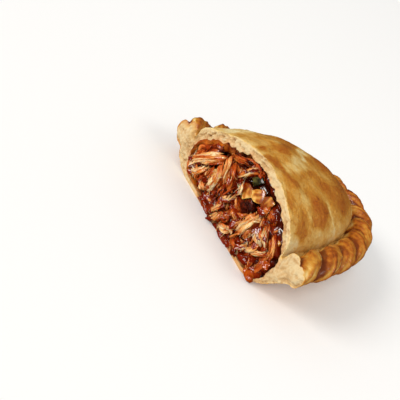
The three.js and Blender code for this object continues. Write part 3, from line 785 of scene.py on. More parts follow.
def fill_flat(loops, spacing, draws):
    """Fills the space in the first loop and outside the others. Gives inner places and faces."""
    low, high = loops[0].min(axis=0), loops[0].max(axis=0)
    steps = np.ceil((high - low) / spacing).astype(int)
    grid = np.stack(np.meshgrid(np.arange(steps[0]), np.arange(steps[1])), axis=-1).reshape(-1, 2)
    places = low + (grid + 0.5 + draws.uniform(-0.3, 0.3, grid.shape)) * spacing
    places = places[inside(places, loops[0])]
    for loop in loops[1:]:
        places = places[~inside(places, loop)]
    clear = np.min([nearest(places, loop) for loop in loops], axis=0) > 0.45 * spacing
    places = places[clear]
    everything = np.concatenate([*loops, places])
    edges = []
    start = 0
    for loop in loops:
        size = len(loop)
        edges += [(start + step, start + (step + 1) % size) for step in range(size)]
        start += size
    made = delaunay_2d_cdt([Vector(place) for place in everything], edges, [], 0, 1e-6)
    source = np.array([found[0] if found else -1 for found in made[3]])
    faces = source[np.array(made[2])]
    faces = faces[(faces >= 0).all(axis=1)]
    middles = everything[faces].mean(axis=1)
    keep = inside(middles, loops[0])
    for loop in loops[1:]:
        keep &= ~inside(middles, loop)
    faces = faces[keep]
    corners = everything[faces]
    first, second = corners[:, 1] - corners[:, 0], corners[:, 2] - corners[:, 0]
    wrong = first[:, 0] * second[:, 1] - first[:, 1] * second[:, 0] < 0
    faces[wrong] = faces[wrong][:, ::-1]
    return places, faces


def frame_shift():
    """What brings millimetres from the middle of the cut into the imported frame, in metres."""
    form = Form(bpy.context.scene.empanada_crust)
    shares = spread(600)
    sides = [form.rope(shares, turn, uneven=False) for turn in (-0.4, 0, 0.4)]
    across = np.concatenate(sides)[:, 0]
    low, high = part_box("pastry")
    middle = (across.min() + across.max()) / 2 * MM
    return np.array([(low.x + high.x) / 2 - middle, low.y, 0.0])


def new_piece(name, points, faces, marks, material, sharp=None):
    """A mesh piece from points in millimetres, with a value of each mark at every point."""
    mesh = bpy.data.meshes.new(name)
    points[:, 2] = np.maximum(points[:, 2], 0)
    mesh.from_pydata((points * MM + frame_shift()).tolist(), [], faces.tolist())
    for key, values in marks.items():
        values = np.asarray(values, dtype=np.float32)
        if values.ndim == 1:
            mesh.attributes.new(key, "FLOAT", "POINT").data.foreach_set("value", values)
        else:
            layer = mesh.attributes.new(key, "FLOAT_VECTOR", "POINT")
            layer.data.foreach_set("vector", values.ravel())
    mesh.validate()
    mesh.shade_smooth()
    if sharp is not None:
        mesh.set_sharp_from_angle(angle=math.radians(sharp))
    piece = bpy.data.objects.new(name, mesh)
    bpy.context.scene.collection.objects.link(piece)
    piece.data.materials.append(material)
    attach(piece, "root")
    return piece


def put(tree, kind, inputs=None, **settings):
    """Adds a node with its settings and inputs. An input that is a socket is linked."""
    node = tree.nodes.new(kind)
    for key, value in settings.items():
        setattr(node, key, value)
    for key, value in (inputs or {}).items():
        if isinstance(value, bpy.types.NodeSocket):
            tree.links.new(value, node.inputs[key])
        else:
            node.inputs[key].default_value = value
    return node


def put_ramp(tree, value, stops):
    """A colour ramp over stops of place and colour."""
    node = put(tree, "ShaderNodeValToRGB", {"Fac": value})
    elements = node.color_ramp.elements
    while len(elements) < len(stops):
        elements.new(0.5)
    for element, (place, shade) in zip(elements, stops):
        element.position = place
        element.color = (*shade, 1)
    return node.outputs["Color"]


def put_mix(tree, share, first, second, blend="MIX"):
    """A mix of two colours."""
    node = put(tree, "ShaderNodeMix", data_type="RGBA", blend_type=blend)
    for number, value in zip(MIX_INPUTS, (share, first, second)):
        socket = node.inputs[number]
        if isinstance(value, bpy.types.NodeSocket):
            tree.links.new(value, socket)
        else:
            socket.default_value = value if socket.type == "VALUE" else (*value, 1)
    return node.outputs[2]


def put_math(tree, operation, first, second, clamp=False):
    """A value that is worked out from two others."""
    return put(
        tree, "ShaderNodeMath", {0: first, 1: second}, operation=operation, use_clamp=clamp
    ).outputs[0]


def put_scaled(tree, value, factor, offset):
    """A value times a factor, plus an offset."""
    inputs = {0: value, 1: factor, 2: offset}
    return put(tree, "ShaderNodeMath", inputs, operation="MULTIPLY_ADD").outputs[0]


def put_noise(tree, place, scale, detail, roughness=0.5, distortion=0.0):
    """Smooth noise over a surface."""
    inputs = {
        "Vector": place,
        "Scale": scale,
        "Detail": detail,
        "Roughness": roughness,
        "Distortion": distortion,
    }
    return put(tree, "ShaderNodeTexNoise", inputs).outputs[0]


def put_range(tree, value, low, high, start=0.0, end=1.0):
    """A value between low and high as one between start and end."""
    inputs = {"Value": value, "From Min": low, "From Max": high, "To Min": start, "To Max": end}
    return put(tree, "ShaderNodeMapRange", inputs).outputs[0]


def put_mark(tree, name, kind="Fac"):
    """A value or vector that is kept at the points of the mesh."""
    return put(tree, "ShaderNodeAttribute", attribute_name=name).outputs[kind]


def new_group(name, outputs):
    """An empty shader node group with a vector coming in."""
    group = bpy.data.node_groups.new(name, "ShaderNodeTree")
    group.interface.new_socket("Vector", in_out="INPUT", socket_type="NodeSocketVector")
    for key in outputs:
        group.interface.new_socket(key, in_out="OUTPUT", socket_type="NodeSocketFloat")
    return group, put(group, "NodeGroupInput").outputs[0], put(group, "NodeGroupOutput")


def link_outputs(group, out, values):
    """Links values to the named outputs of a group."""
    for key, value in values.items():
        group.links.new(value, out.inputs[key])
    return group


def mottle_group():
    """Broad and fine unevenness of baked dough, its pores and the cracks of its flakes."""
    found = bpy.data.node_groups.get("Mottle")
    if found:
        return found
    group, place, out = new_group("Mottle", ("Broad", "Fine", "Pores", "Flakes"))
    broad = put_noise(group, place, 320, 4, 0.62)
    fine = put_noise(group, place, 1300, 3, 0.6)
    pores = put(group, "ShaderNodeTexVoronoi", {"Vector": place, "Scale": 1500, "Randomness": 1})
    crack = put_noise(group, place, 210, 2, distortion=0.8)
    away = put_math(group, "ABSOLUTE", put_math(group, "SUBTRACT", crack, 0.5), 0)
    lines = put_range(group, away, 0, 0.022, 1, 0)
    flakes = put_math(group, "MULTIPLY", lines, put_range(group, broad, 0.48, 0.6))
    values = {"Broad": broad, "Fine": fine, "Pores": pores.outputs["Distance"], "Flakes": flakes}
    return link_outputs(group, out, values)


def streak_group():
    """Streaks along the strands of meat, and patches of sauce over them."""
    found = bpy.data.node_groups.get("Streaks")
    if found:
        return found
    group, place, out = new_group("Streaks", ("Streak", "Sauce"))
    stretch = {0: place, 1: (0.35, 2.2, 2.2)}
    thin = put(group, "ShaderNodeVectorMath", stretch, operation="MULTIPLY").outputs[0]
    streak = put_noise(group, thin, 1.4, 3, 0.65)
    sauce = put_range(group, put_noise(group, place, 0.34, 3, 0.6), 0.5, 0.62)
    return link_outputs(group, out, {"Streak": streak, "Sauce": sauce})


def new_material(name):
    """A material with its tree, shader and the place on the piece."""
    material = bpy.data.materials.new(name)
    material.use_nodes = True
    tree = material.node_tree
    place = put(tree, "ShaderNodeTexCoord").outputs["Object"]
    return material, tree, tree.nodes["Principled BSDF"], place


def use_group(tree, group, place):
    """The outputs of a shader node group at a place."""
    return put(tree, "ShaderNodeGroup", {"Vector": place}, node_tree=group).outputs


def set_gloss(shader, level, coat=0.0, coat_roughness=0.1):
    """Constant gloss of a surface: its own reflection and that of the film on it."""
    shader.inputs["Specular IOR Level"].default_value = level
    shader.inputs["Coat Roughness"].default_value = coat_roughness
    if coat:
        shader.inputs["Coat Weight"].default_value = coat


def set_glow(shader, weight, depth):
    """Light that goes into a moist surface and comes out warmer, some millimetres away."""
    shader.inputs["Subsurface Weight"].default_value = weight
    shader.inputs["Subsurface Radius"].default_value = (1.0, 0.4, 0.15)
    shader.inputs["Subsurface Scale"].default_value = depth * MM


def put_bump(tree, shader, height, strength, distance):
    """Fine relief of a surface, with its distance in millimetres."""
    inputs = {"Height": height, "Strength": strength, "Distance": distance * MM}
    tree.links.new(put(tree, "ShaderNodeBump", inputs).outputs[0], shader.inputs["Normal"])


def crust_material(look):
    """Dough that is browned outside, pale where it is cut and stained inside."""
    material, tree, shader, place = new_material("Crust")
    grain = use_group(tree, mottle_group(), place)
    names = ("bake", "cut", "stain", "darkening", "glaze")
    bake, cut, stain, darkening, glaze = (put_mark(tree, name) for name in names)
    uneven = put_scaled(tree, grain["Broad"], 0.32, -0.16)
    speckle = put_scaled(tree, grain["Fine"], 0.36, -0.18)
    cracked = put_scaled(tree, grain["Flakes"], 0.2, put_math(tree, "ADD", bake, uneven))
    level = put_math(tree, "ADD", cracked, speckle, clamp=True)
    # The bake mark also holds painted shade in the crease, the rope's grooves and on the far sides
    # of the dome, and painted light on the rope's first pleat.
    tones = (look.pale, look.straw, look.golden, look.brown, look.dark)
    baked = put_ramp(tree, level, [(number / 4, tone) for number, tone in enumerate(tones)])
    # On the cut, the darkening mark is painted shade in the crumb's hollows, cracks and fold seam;
    # on the inside it darkens the stain further in.
    hole = put_math(tree, "ADD", darkening, put_math(tree, "SUBTRACT", 0.5, grain["Broad"]))
    pore = put_math(tree, "SUBTRACT", 0.5, grain["Fine"])
    depth = put_math(tree, "ADD", hole, pore, clamp=True)
    stops = ((0.05, look.crumb), (0.4, look.crumb_shade), (0.9, look.crumb_deep))
    crumb = put_ramp(tree, depth, stops)
    stained = put_ramp(tree, depth, ((0.1, look.stain_light), (0.85, look.stain_dark)))
    skin = put_mix(tree, cut, baked, crumb)
    tree.links.new(put_mix(tree, stain, skin, stained), shader.inputs["Base Color"])
    dry = put_scaled(tree, cut, 0.3, look.roughness)
    wet = put_math(tree, "MULTIPLY", stain, 0.35)
    tree.links.new(put_math(tree, "SUBTRACT", dry, wet, clamp=True), shader.inputs["Roughness"])
    pores = put_math(tree, "ADD", grain["Fine"], put_math(tree, "MULTIPLY", grain["Pores"], 0.5))
    flakes = put_math(tree, "MULTIPLY", grain["Flakes"], 0.5)
    put_bump(tree, shader, put_math(tree, "SUBTRACT", pores, flakes), 0.5, 0.4)
    tree.links.new(put_math(tree, "MULTIPLY", glaze, 0.4), shader.inputs["Coat Weight"])
    set_gloss(shader, 0.4, coat_roughness=0.2)
    return material


def sauce_material(name, stops, coat):
    """Glossy sauce in tones from deep to thin."""
    material, tree, shader, place = new_material(name)
    grain = use_group(tree, mottle_group(), place)
    uneven = put_scaled(tree, grain["Broad"], 0.7, -0.35)
    level = put_math(tree, "ADD", put_mark(tree, "level"), uneven, clamp=True)
    tree.links.new(put_ramp(tree, level, stops), shader.inputs["Base Color"])
    shader.inputs["Roughness"].default_value = 0.25
    set_gloss(shader, 0.12, coat, 0.06)
    set_glow(shader, 0.25, 0.8)
    put_bump(tree, shader, grain["Broad"], 0.5, 0.6)
    return material


def meat_material(look):
    """Pulled meat, from soaked and dark to dry and pale, with sauce that clings to it and painted
    shade on its shaded sides.
    """
    material, tree, shader, _ = new_material("Meat")
    grain = use_group(tree, streak_group(), put_mark(tree, "grain", "Vector"))
    streak = put_scaled(tree, grain["Streak"], 0.5, -0.25)
    wet = put_math(tree, "MULTIPLY", grain["Sauce"], 0.22)
    streaked = put_math(tree, "ADD", put_mark(tree, "tone"), streak)
    level = put_math(tree, "SUBTRACT", streaked, wet, clamp=True)
    stops = (
        (0.05, look.meat_dark),
        (0.3, look.meat_red),
        (0.52, look.meat),
        (0.74, look.meat_tan),
        (0.98, look.meat_pale),
    )
    bare = put_ramp(tree, level, stops)
    # On the shreds the sauce mark is partly painted shade, so the glaze also paints shade there.
    meat = put_mix(tree, put_mark(tree, "sauce"), bare, look.glaze, blend="MULTIPLY")
    tree.links.new(meat, shader.inputs["Base Color"])
    dry = put_scaled(tree, grain["Sauce"], -0.18, 0.36)
    tree.links.new(dry, shader.inputs["Roughness"])
    coat = put_scaled(tree, grain["Sauce"], 0.4, 0.6)
    tree.links.new(coat, shader.inputs["Coat Weight"])
    set_gloss(shader, 0.14, coat_roughness=0.09)
    set_glow(shader, 0.35, 0.9)
    put_bump(tree, shader, grain["Streak"], 0.6, 0.4)
    return material


def vegetable_material(name, stops, coat):
    """Wet, cooked vegetable in tones from its darker to its paler side, which on one onion piece is
    a painted highlight.
    """
    material, tree, shader, place = new_material(name)
    grain = use_group(tree, mottle_group(), place)
    uneven = put_scaled(tree, grain["Broad"], 0.5, -0.25)
    level = put_math(tree, "ADD", put_mark(tree, "thin"), uneven, clamp=True)
    tree.links.new(put_ramp(tree, level, stops), shader.inputs["Base Color"])
    shader.inputs["Roughness"].default_value = 0.28
    set_gloss(shader, 0.3, coat, 0.08)
    set_glow(shader, 0.6, 1.4)
    put_bump(tree, shader, grain["Broad"], 0.25, 0.5)
    return material


def crust_outside(form):
    """Rings of the outer face, from the top of the dome over the rope to the middle of the base."""
    s = form.s
    skin = Skin()
    shell = form.shell(None)

    def ring(points, part, share, lobe=0.5, lip=0, phase=0):
        skin.ring(points, part=part, share=share, lobe=lobe, lip=lip, phase=phase)

    for step, share in enumerate(form.dome_shares(s.dome_rings)):
        ring(form.dome(form.turn_at(spread(RING_STEP * step)), share, shell), DOME, share)
    shares = spread(s.rope_segments)
    foot = form.dome(form.turn_at(shares), 1.0, shell)
    start = form.rope(shares, s.rope_inner)
    lobe, _ = form.pleat(form.pleat_phase(shares, s.rope_inner))
    crease = form.crease(shares) - np.outer(1 - lobe, [0, 0, s.crevice])
    for step in range(1, CREASE_DOWN):
        share = step / CREASE_DOWN
        bow = np.array([0, 0, -CREASE_BOW]) * (share - share * share)
        ring(foot + (crease - foot) * share + bow, CREASE, share, lobe)
    for step in range(CREASE_UP):
        ring(crease + (start - crease) * step / CREASE_UP, CREASE, 1, lobe)
    for turn_round in np.linspace(s.rope_inner, s.rope_under, s.rope_steps + 1):
        phase = form.pleat_phase(shares, turn_round)
        lobe, lip = form.pleat(phase)
        ring(form.rope(shares, turn_round), ROPE, turn_round / math.pi, lobe, lip, phase)
    for step in range(BASE_RINGS):
        left = 1 - step / BASE_RINGS
        share = s.base_start * left**0.8
        segments = max(4, round(s.rope_segments * left))
        ring(form.base(form.turn_at(spread(segments)), share), BASE, share)
    ring(form.base(np.zeros(1), 0), BASE, 0)
    return skin


def dome_bake(points, share):
    """How browned the dome is: uneven, with its spots, pale at the cut and the seam, and painted
    shade on its far sides.
    """
    x, y = points[:, 0], points[:, 1]
    drift = [
        2.4 * ripple(points, 5, seed) + 1.1 * ripple(points, 1.8, seed + 20) for seed in (3, 4)
    ]
    # Darker on the +x side and towards the back, the sides turned away from the key light: painted
    # shade.
    level = 0.48 + 0.04 * np.tanh((x - 2) / 9)
    level = level + 0.08 * ripple(points, 13, 5) + 0.14 * rise(y, 22, 45)
    level = level + 0.06 * ripple(points, 4.5, 6) + 0.06 * ripple(points, 1.8, 14)
    blotch = ripple(points, 5.5, 24) + 0.35 * ripple(points, 2.2, 25)
    level = level + 0.07 * rise(blotch, 0.1, 0.4) - 0.08 * rise(-blotch, 0.1, 0.4)
    for spot_x, spot_y, half_length, half_width, turn, strength in SPOTS:
        across = math.cos(math.radians(turn)), math.sin(math.radians(turn))
        away_x, away_y = x + drift[0] - spot_x, y + drift[1] - spot_y
        along = (away_x * across[0] + away_y * across[1]) / half_length
        aside = (away_y * across[0] - away_x * across[1]) / half_width
        level = level + 1.15 * strength * np.exp(-((along**2 + aside**2) ** 2.2))
    level -= 0.26 * np.exp(-y / 1.8) + 0.32 * rise(share, 0.84, 0.98)
    return np.minimum(level, 0.62 + 0.3 * (level - 0.62))


def rope_bake(points, marks):
    """How browned the rope is, with painted shade in its grooves and painted light on the first
    pleat; palest on the lips of its pleats.
    """
    x, y = points[:, 0], points[:, 1]
    # Darker in the grooves between the pleats, and more so towards the crease: painted shade.
    groove = 1 - rise(marks["lobe"], 0.0, 0.6)
    inner = rise(marks["share"], 0.4, 0.8)
    level = 0.68 + (0.4 + 0.3 * inner) * groove + 0.1 * ripple(points, 4.5, 8)
    level += 0.18 * ripple(points, 1.6, 15) - 0.55 * marks["lip"] + 0.4 * wrinkles(marks)
    level -= 0.12 * rise(-marks["share"], 0.05, 0.4)
    # Paler on the first pleat at +x by the cut, where the key light falls: painted light.
    level -= 0.2 * rise(x, 15, 25) * np.exp(-((y / 6) ** 2))
    return level


def bake_of(points, marks):
    """How browned the outer face is at each point, with painted shade in the crease."""
    # The crease is darker between the pleats, towards the rope: painted shade in its crevices.
    between = 1 - rise(marks["lobe"], 0.1, 0.85)
    crease = 0.26 + 1.1 * between * rise(marks["share"], 0.2, 0.8) + 0.12 * ripple(points, 3, 7)
    base = 0.5 + 0.16 * ripple(points, 8, 9)
    levels = [dome_bake(points, marks["share"]), crease, rope_bake(points, marks), base]
    return np.choose(marks["part"].astype(int), levels)


def wrinkles(marks):
    """Streaks that run along each pleat of the rope."""
    number = np.floor(marks["phase"])
    places = np.stack([9 * marks["phase"], 2.4 * marks["share"], 3.3 * number], axis=-1)
    return ripple(places, 1, 16)


def relief_of(points, marks, size):
    """Height of the fine unevenness of the baked face."""
    broad = ripple(points, 9, 11) + 0.5 * ripple(points, 3.4, 12)
    fine = 0.3 * ripple(points, 1.3, 13)
    fine += (wrinkles(marks) + 0.3 * ripple(points, 1.0, 17)) * (marks["part"] == ROPE)
    return size * (0.8 * broad + fine)


def ragged_shift(points, size, seed):
    """Small shifts within the cut that make an edge ragged, but leave the base flat."""
    shift = np.zeros_like(points)
    lifted = rise(points[:, 2], 1.2, 3.5)
    for axis in (0, 2):
        wave = ripple(points, 1.3, seed + axis) + 0.5 * ripple(points, 0.6, seed)
        shift[:, axis] = size * lifted * wave
    return shift


def outer_face(form):
    """The baked outside: the loop of its ends in the cut, its points, faces and marks."""
    s = form.s
    skin = crust_outside(form)
    points, faces, marks = skin.stitch()
    loop = skin.cut_loop()
    ends = np.unique(loop)
    lift = relief_of(points, marks, s.relief)
    lift *= np.where(marks["part"] == BASE, rise(points[:, 2], 0.2, 3), 1)
    points = points + normals_of(points, faces) * lift[:, None]
    points[:, 2] = np.maximum(points[:, 2], 0)
    points[ends] += ragged_shift(points[ends], 0.3, 81)
    points[ends, 1] = 0
    marks["bake"] = bake_of(points, marks)
    return loop, points, faces, marks


def inner_face(form):
    """The wavy inside, torn over the pocket: the loop of its ends, its points and faces."""
    skin = Skin()
    for ring, _ in form.cavity_rings(CAVITY_RINGS, 0)[::-1]:
        skin.ring(ring)
    points, faces, _ = skin.stitch()
    loop = skin.cut_loop()
    ends = np.unique(loop)
    wave = 0.3 + 0.6 * ripple(points, 4, 31) + 0.6 * ripple(points, 1.6, 32)
    wave += 0.3 * ripple(points, 0.9, 33)
    wave *= rise(points[:, 2], 3, 8)
    points = points - normals_of(points, faces) * wave[:, None]
    points[ends] += ragged_shift(points[ends], 0.2, 83)
    torn = points[ends]
    open_roof = rise(torn[:, 2], 11, 16) * rise(-torn[:, 0], 2, 8)
    points[ends, 2] += 1.3 * open_roof * (ripple(torn, 2.6, 85) - 0.3)
    points[ends, 1] = 0
    return loop, points, faces


def crumb_roughness(places, from_outside, from_inside):
    """Height of the cut dough's layers and pores, with its cracks and the seam of a fold."""
    x, z = places[:, 0], places[:, 1]
    flat = behind(places, 0.0)
    round_it = np.arctan2(z - 6, x) * np.hypot(x, z - 6)
    layers = np.stack([round_it / 2.4, from_outside / 0.75, 0 * round_it], axis=-1)
    rough = 0.9 * ripple(layers, 1, 40)
    for strength, size, seed in ((0.6, 1.5, 41), (0.6, 3.4, 42), (0.5, 0.7, 43)):
        rough = rough + strength * ripple(flat, size, seed)
    cracks = np.exp(-((ripple(layers, 1.6, 50) / 0.08) ** 2))
    cracks = cracks * rise(ripple(flat, 4, 51), -0.05, 0.3)
    seam = np.exp(-(((from_inside - 1.7 - 0.5 * ripple(flat, 3, 53)) / 0.34) ** 2))
    over_pocket = rise(-x, 7, 10) * rise(z, 9, 12)
    seam *= over_pocket * rise(ripple(flat, 1.3, 54), -0.15, 0.15)
    return rough - 0.6 * cracks - 1.3 * seam


def outer_marks(marks):
    """What the material reads on the baked outside."""
    none = np.zeros(len(marks["bake"]))
    glaze = np.choose(marks["part"].astype(int), [0.35, 0.4, 1.0, 0.1])
    return {"glaze": glaze, "bake": marks["bake"], "darkening": none, "cut": none, "stain": none}


def inner_marks(points):
    """What the material reads on the inside, which the sauce has soaked."""
    stain = rise(points[:, 1], -0.1, 0.5) * (0.95 + 0.2 * ripple(points, 2, 48))
    # Darker further behind the cut and towards +x.
    inward_darkening = 0.4 * rise(points[:, 1], 0.6, 4) + 0.6 * rise(points[:, 0], -21, -9)
    inward_darkening += 0.6 * ripple(points, 2.4, 34)
    return {
        "glaze": np.zeros(len(points)),
        "bake": np.full(len(points), 0.1),
        "darkening": inward_darkening,
        "cut": np.ones(len(points)),
        "stain": np.clip(stain, 0, 1),
    }


def crumb_marks(points, rough, from_outside, from_inside):
    """What the material reads on the cut dough, which is browned at its edges and base and has
    painted shade in its hollows.
    """
    x, z = points[:, 0], points[:, 2]
    across = x + 1.5 * ripple(points, 2, 52)
    middle = rise(across, -13, -9) * (1 - 0.4 * rise(across, 12, 15)) * (1 - rise(across, 22, 25))
    low = 1 - rise(z, 1.2, 2.2)
    browned = np.maximum(0.5 * np.exp(-from_outside / 0.3), low * middle)
    rim = rise(-x, *STUB) * (1 - rise(from_outside, 0.5, 2.6))
    bleed = 0.6 * np.exp(-from_inside / 0.5) * rise(ripple(points, 2, 49), -0.4, 0.5)
    return {
        "glaze": np.zeros(len(points)),
        "bake": 0.95 * browned + 0.5 * rim,
        # Darker in the crumb's low hollows, cracks and fold seam: painted shade. A little darker on
        # the torn stub at +x as well.
        "darkening": 0.56 * rise(-rough, -0.4, 0.9) + 0.12 * rise(x, *STUB),
        "cut": (1 - 0.8 * browned) * (1 - 0.7 * rim),
        "stain": np.clip(bleed, 0, 1),
    }


def crust_mesh(form):
    """The whole crust: its outside, its inside and the crumb of the cut between them."""
    s = form.s
    outline, outer, outer_faces, marks = outer_face(form)
    opening, inner, inner_faces = inner_face(form)
    loops = [outer[outline][:, [0, 2]], inner[opening][:, [0, 2]]]
    places, crumb_faces = fill_flat(loops, CRUMB_STEP, np.random.default_rng(21))
    from_outside, from_inside = nearest(places, loops[0]), nearest(places, loops[1])
    crumb = behind(places, 0.0)
    edge = rise(np.minimum(from_outside, from_inside), 0, 0.8)
    stub = rise(np.abs(places[:, 0]), *STUB) * rise(from_outside, 0, 2.6)
    rough = crumb_roughness(places, from_outside, from_inside) * (1 - 0.5 * stub)
    bulge = s.stub_bulge * stub * (1 + 0.5 * ripple(crumb, 2.2, 44))
    crumb[:, 1] = -s.crumb_relief * rough * edge - bulge
    ragged = 0.4 * ripple(outer[outline], 2.2, 45) + 0.3 * ripple(outer[outline], 0.8, 46)
    outer[outline, 1] = np.where(outer[outline, 2] > 1, ragged, 0)
    inner[opening, 1] = 0.25 * ripple(inner[opening], 1.5, 47)
    start, total = len(outer), len(outer) + len(inner)
    numbers = np.concatenate([outline, opening + start, np.arange(len(crumb)) + total])
    faces = np.concatenate([outer_faces, inner_faces + start, numbers[crumb_faces]])
    rows = (
        outer_marks(marks),
        inner_marks(inner),
        crumb_marks(crumb, rough, from_outside, from_inside),
    )
    values = {key: np.concatenate([row[key] for row in rows]) for key in rows[0]}
    return np.concatenate([outer, inner, crumb]), faces, values


def core_front(x, z, s):
    """How far behind the cut the front of the filling's core lies."""
    depth = s.recess + s.bump * np.sin(s.bump_wave * x + z) * np.cos(s.bump_wave * z - x / 2)
    for pocket_x, pocket_z, half_width, half_height, pocket_depth in POCKETS:
        away = np.hypot((x - pocket_x) / half_width, (z - pocket_z) / half_height)
        depth = depth + pocket_depth * np.exp(-away * away)
    return depth


def settle(depth, places, lines):
    """Brings the sauce's front up round lines of meat, so that they lie half in it."""
    for middle, width, _ in lines:
        gaps = np.hypot(places[:, 0:1] - middle[:, 0], places[:, 1:2] - middle[:, 2])
        at = gaps.argmin(axis=1)
        near = np.exp(-((gaps[np.arange(len(at)), at] / (0.72 * width)) ** 2))
        depth = np.minimum(depth, depth + (middle[at, 1] + 0.1 * width - depth) * near)
    return depth


def core_mesh(form, s, lines):
    """The filling's core, which fills the cavity. Its front of sauce rises round the shreds."""
    draws = np.random.default_rng(s.seed)
    skin = Skin()
    for ring, over in form.cavity_rings(CORE_RINGS, s.gap):
        skin.ring(ring, over=over)
    points, faces, marks = skin.stitch()
    shell = form.shell(s.gap)
    hung = form.hanging(points[:, 1], marks["over"], shell)
    front = core_front(points[:, 0], points[:, 2], s)
    points[:, 1] += front * np.exp(-points[:, 1] / s.fade)
    points[:, 2] += hung - form.hanging(points[:, 1], marks["over"], shell)
    loop = skin.cut_loop()
    outline = points[loop][:, [0, 2]]
    places, front_faces = fill_flat([outline], s.core_step, draws)
    from_edge = rise(nearest(places, outline), 0, 1.2)
    flat = behind(places, 0.0)
    lumps = ripple(flat, 3.2, 51) + 0.4 * ripple(flat, 1.6, 52)
    base = core_front(places[:, 0], places[:, 1], s)
    depth = base + (settle(base, places, lines) - base) * from_edge
    flat[:, 1] = depth - 0.45 * lumps * from_edge
    # The sauce's front is darker where it lies back between the shreds, which is painted shade, and
    # lighter again deep in the pockets, which is painted light where little lamp light reaches.
    depth_shade_and_light = 0.8 * rise(-flat[:, 1], -2.2, 1.2) + 0.4 * rise(flat[:, 1], 3, 6)
    level = np.concatenate([np.full(len(points), 0.2), depth_shade_and_light])
    numbers = np.concatenate([loop, np.arange(len(flat)) + len(points)])
    faces = np.concatenate([faces, numbers[front_faces]])
    return np.concatenate([points, flat]), faces, {"level": level}


def in_sight(points):
    """Moves points so that the camera sees them where their x and z lie on the cut."""
    return points - points[:, 1:2] * SIGHT


def through(points, steps):
    """A smooth curve through points, at even steps."""
    points = np.asarray(points, float)
    padded = np.concatenate([[2 * points[0] - points[1]], points, [2 * points[-1] - points[-2]]])
    spans = len(points) - 1
    at = np.linspace(0, spans, steps)
    span = np.minimum(at.astype(int), spans - 1)
    t = (at - span)[:, None]
    a, b, c, d = (padded[span + step] for step in range(4))
    curve = 2 * b + (c - a) * t
    curve = curve + (2 * a - 5 * b + 4 * c - d) * t**2 + (3 * b - a - 3 * c + d) * t**3
    return 0.5 * curve


def tube_faces(steps, sides):
    """Faces of a tube of rings, closed by a point at each end."""
    faces = []
    for step in range(steps - 1):
        for corner in range(sides):
            here, beside = step * sides + corner, step * sides + (corner + 1) % sides
            faces.append((here, beside, here + sides))
            faces.append((beside, beside + sides, here + sides))
    last = (steps - 1) * sides
    for corner in range(sides):
        faces.append((steps * sides, (corner + 1) % sides, corner))
        faces.append((steps * sides + 1, last + corner, last + (corner + 1) % sides))
    return np.array(faces)


def frames_along(path):
    """Directions ahead, to the side and to the front along a path on the cut."""
    ahead = np.gradient(path, axis=0)
    ahead /= np.linalg.norm(ahead, axis=1, keepdims=True).clip(1e-9)
    side = np.cross(ahead, np.array([0.0, -1.0, 0.0]))
    side /= np.linalg.norm(side, axis=1, keepdims=True).clip(1e-9)
    return ahead, side, np.cross(side, ahead)


def run_along(path):
    """Length of a path up to each of its points."""
    return np.concatenate([[0], np.cumsum(np.linalg.norm(np.diff(path, axis=0), axis=1))])


def strand(path, radii, sides, number):
    """A closed tube along a path, with places along and round it for its grain."""
    _, side, over = frames_along(path)
    round_it = 2 * math.pi * np.arange(sides) / sides
    across, up = np.cos(round_it), np.sin(round_it)
    ring = across[None, :, None] * side[:, None] + up[None, :, None] * over[:, None]
    points = (path[:, None] + radii[:, None, None] * ring).reshape(-1, 3)
    grain = np.stack(
        [
            np.repeat(run_along(path), sides),
            np.tile(across, len(path)) + 3.1 * number,
            np.tile(up, len(path)) + 1.7 * number,
        ],
        axis=-1,
    )
    points = np.concatenate([points, path[[0, -1]]])
    grain = np.concatenate([grain, grain[[0, -1]]])
    return points, tube_faces(len(path), sides), grain


class Heap:
    """Pieces of one kind, joined into one mesh."""

    def __init__(self):
        self.points, self.faces, self.marks, self.size = [], [], {}, 0

    def add(self, points, faces, **marks):
        """Adds a piece, with a value of each mark for it or for each of its points."""
        self.points.append(points)
        self.faces.append(faces + self.size)
        self.size += len(points)
        for key, value in marks.items():
            value = np.asarray(value, float)
            if value.ndim == 0:
                value = np.full(len(points), float(value))
            self.marks.setdefault(key, []).append(value)

    def joined(self):
        """Points, faces and marks of the whole heap."""
        marks = {key: np.concatenate(value) for key, value in self.marks.items()}
        return np.concatenate(self.points), np.concatenate(self.faces), marks


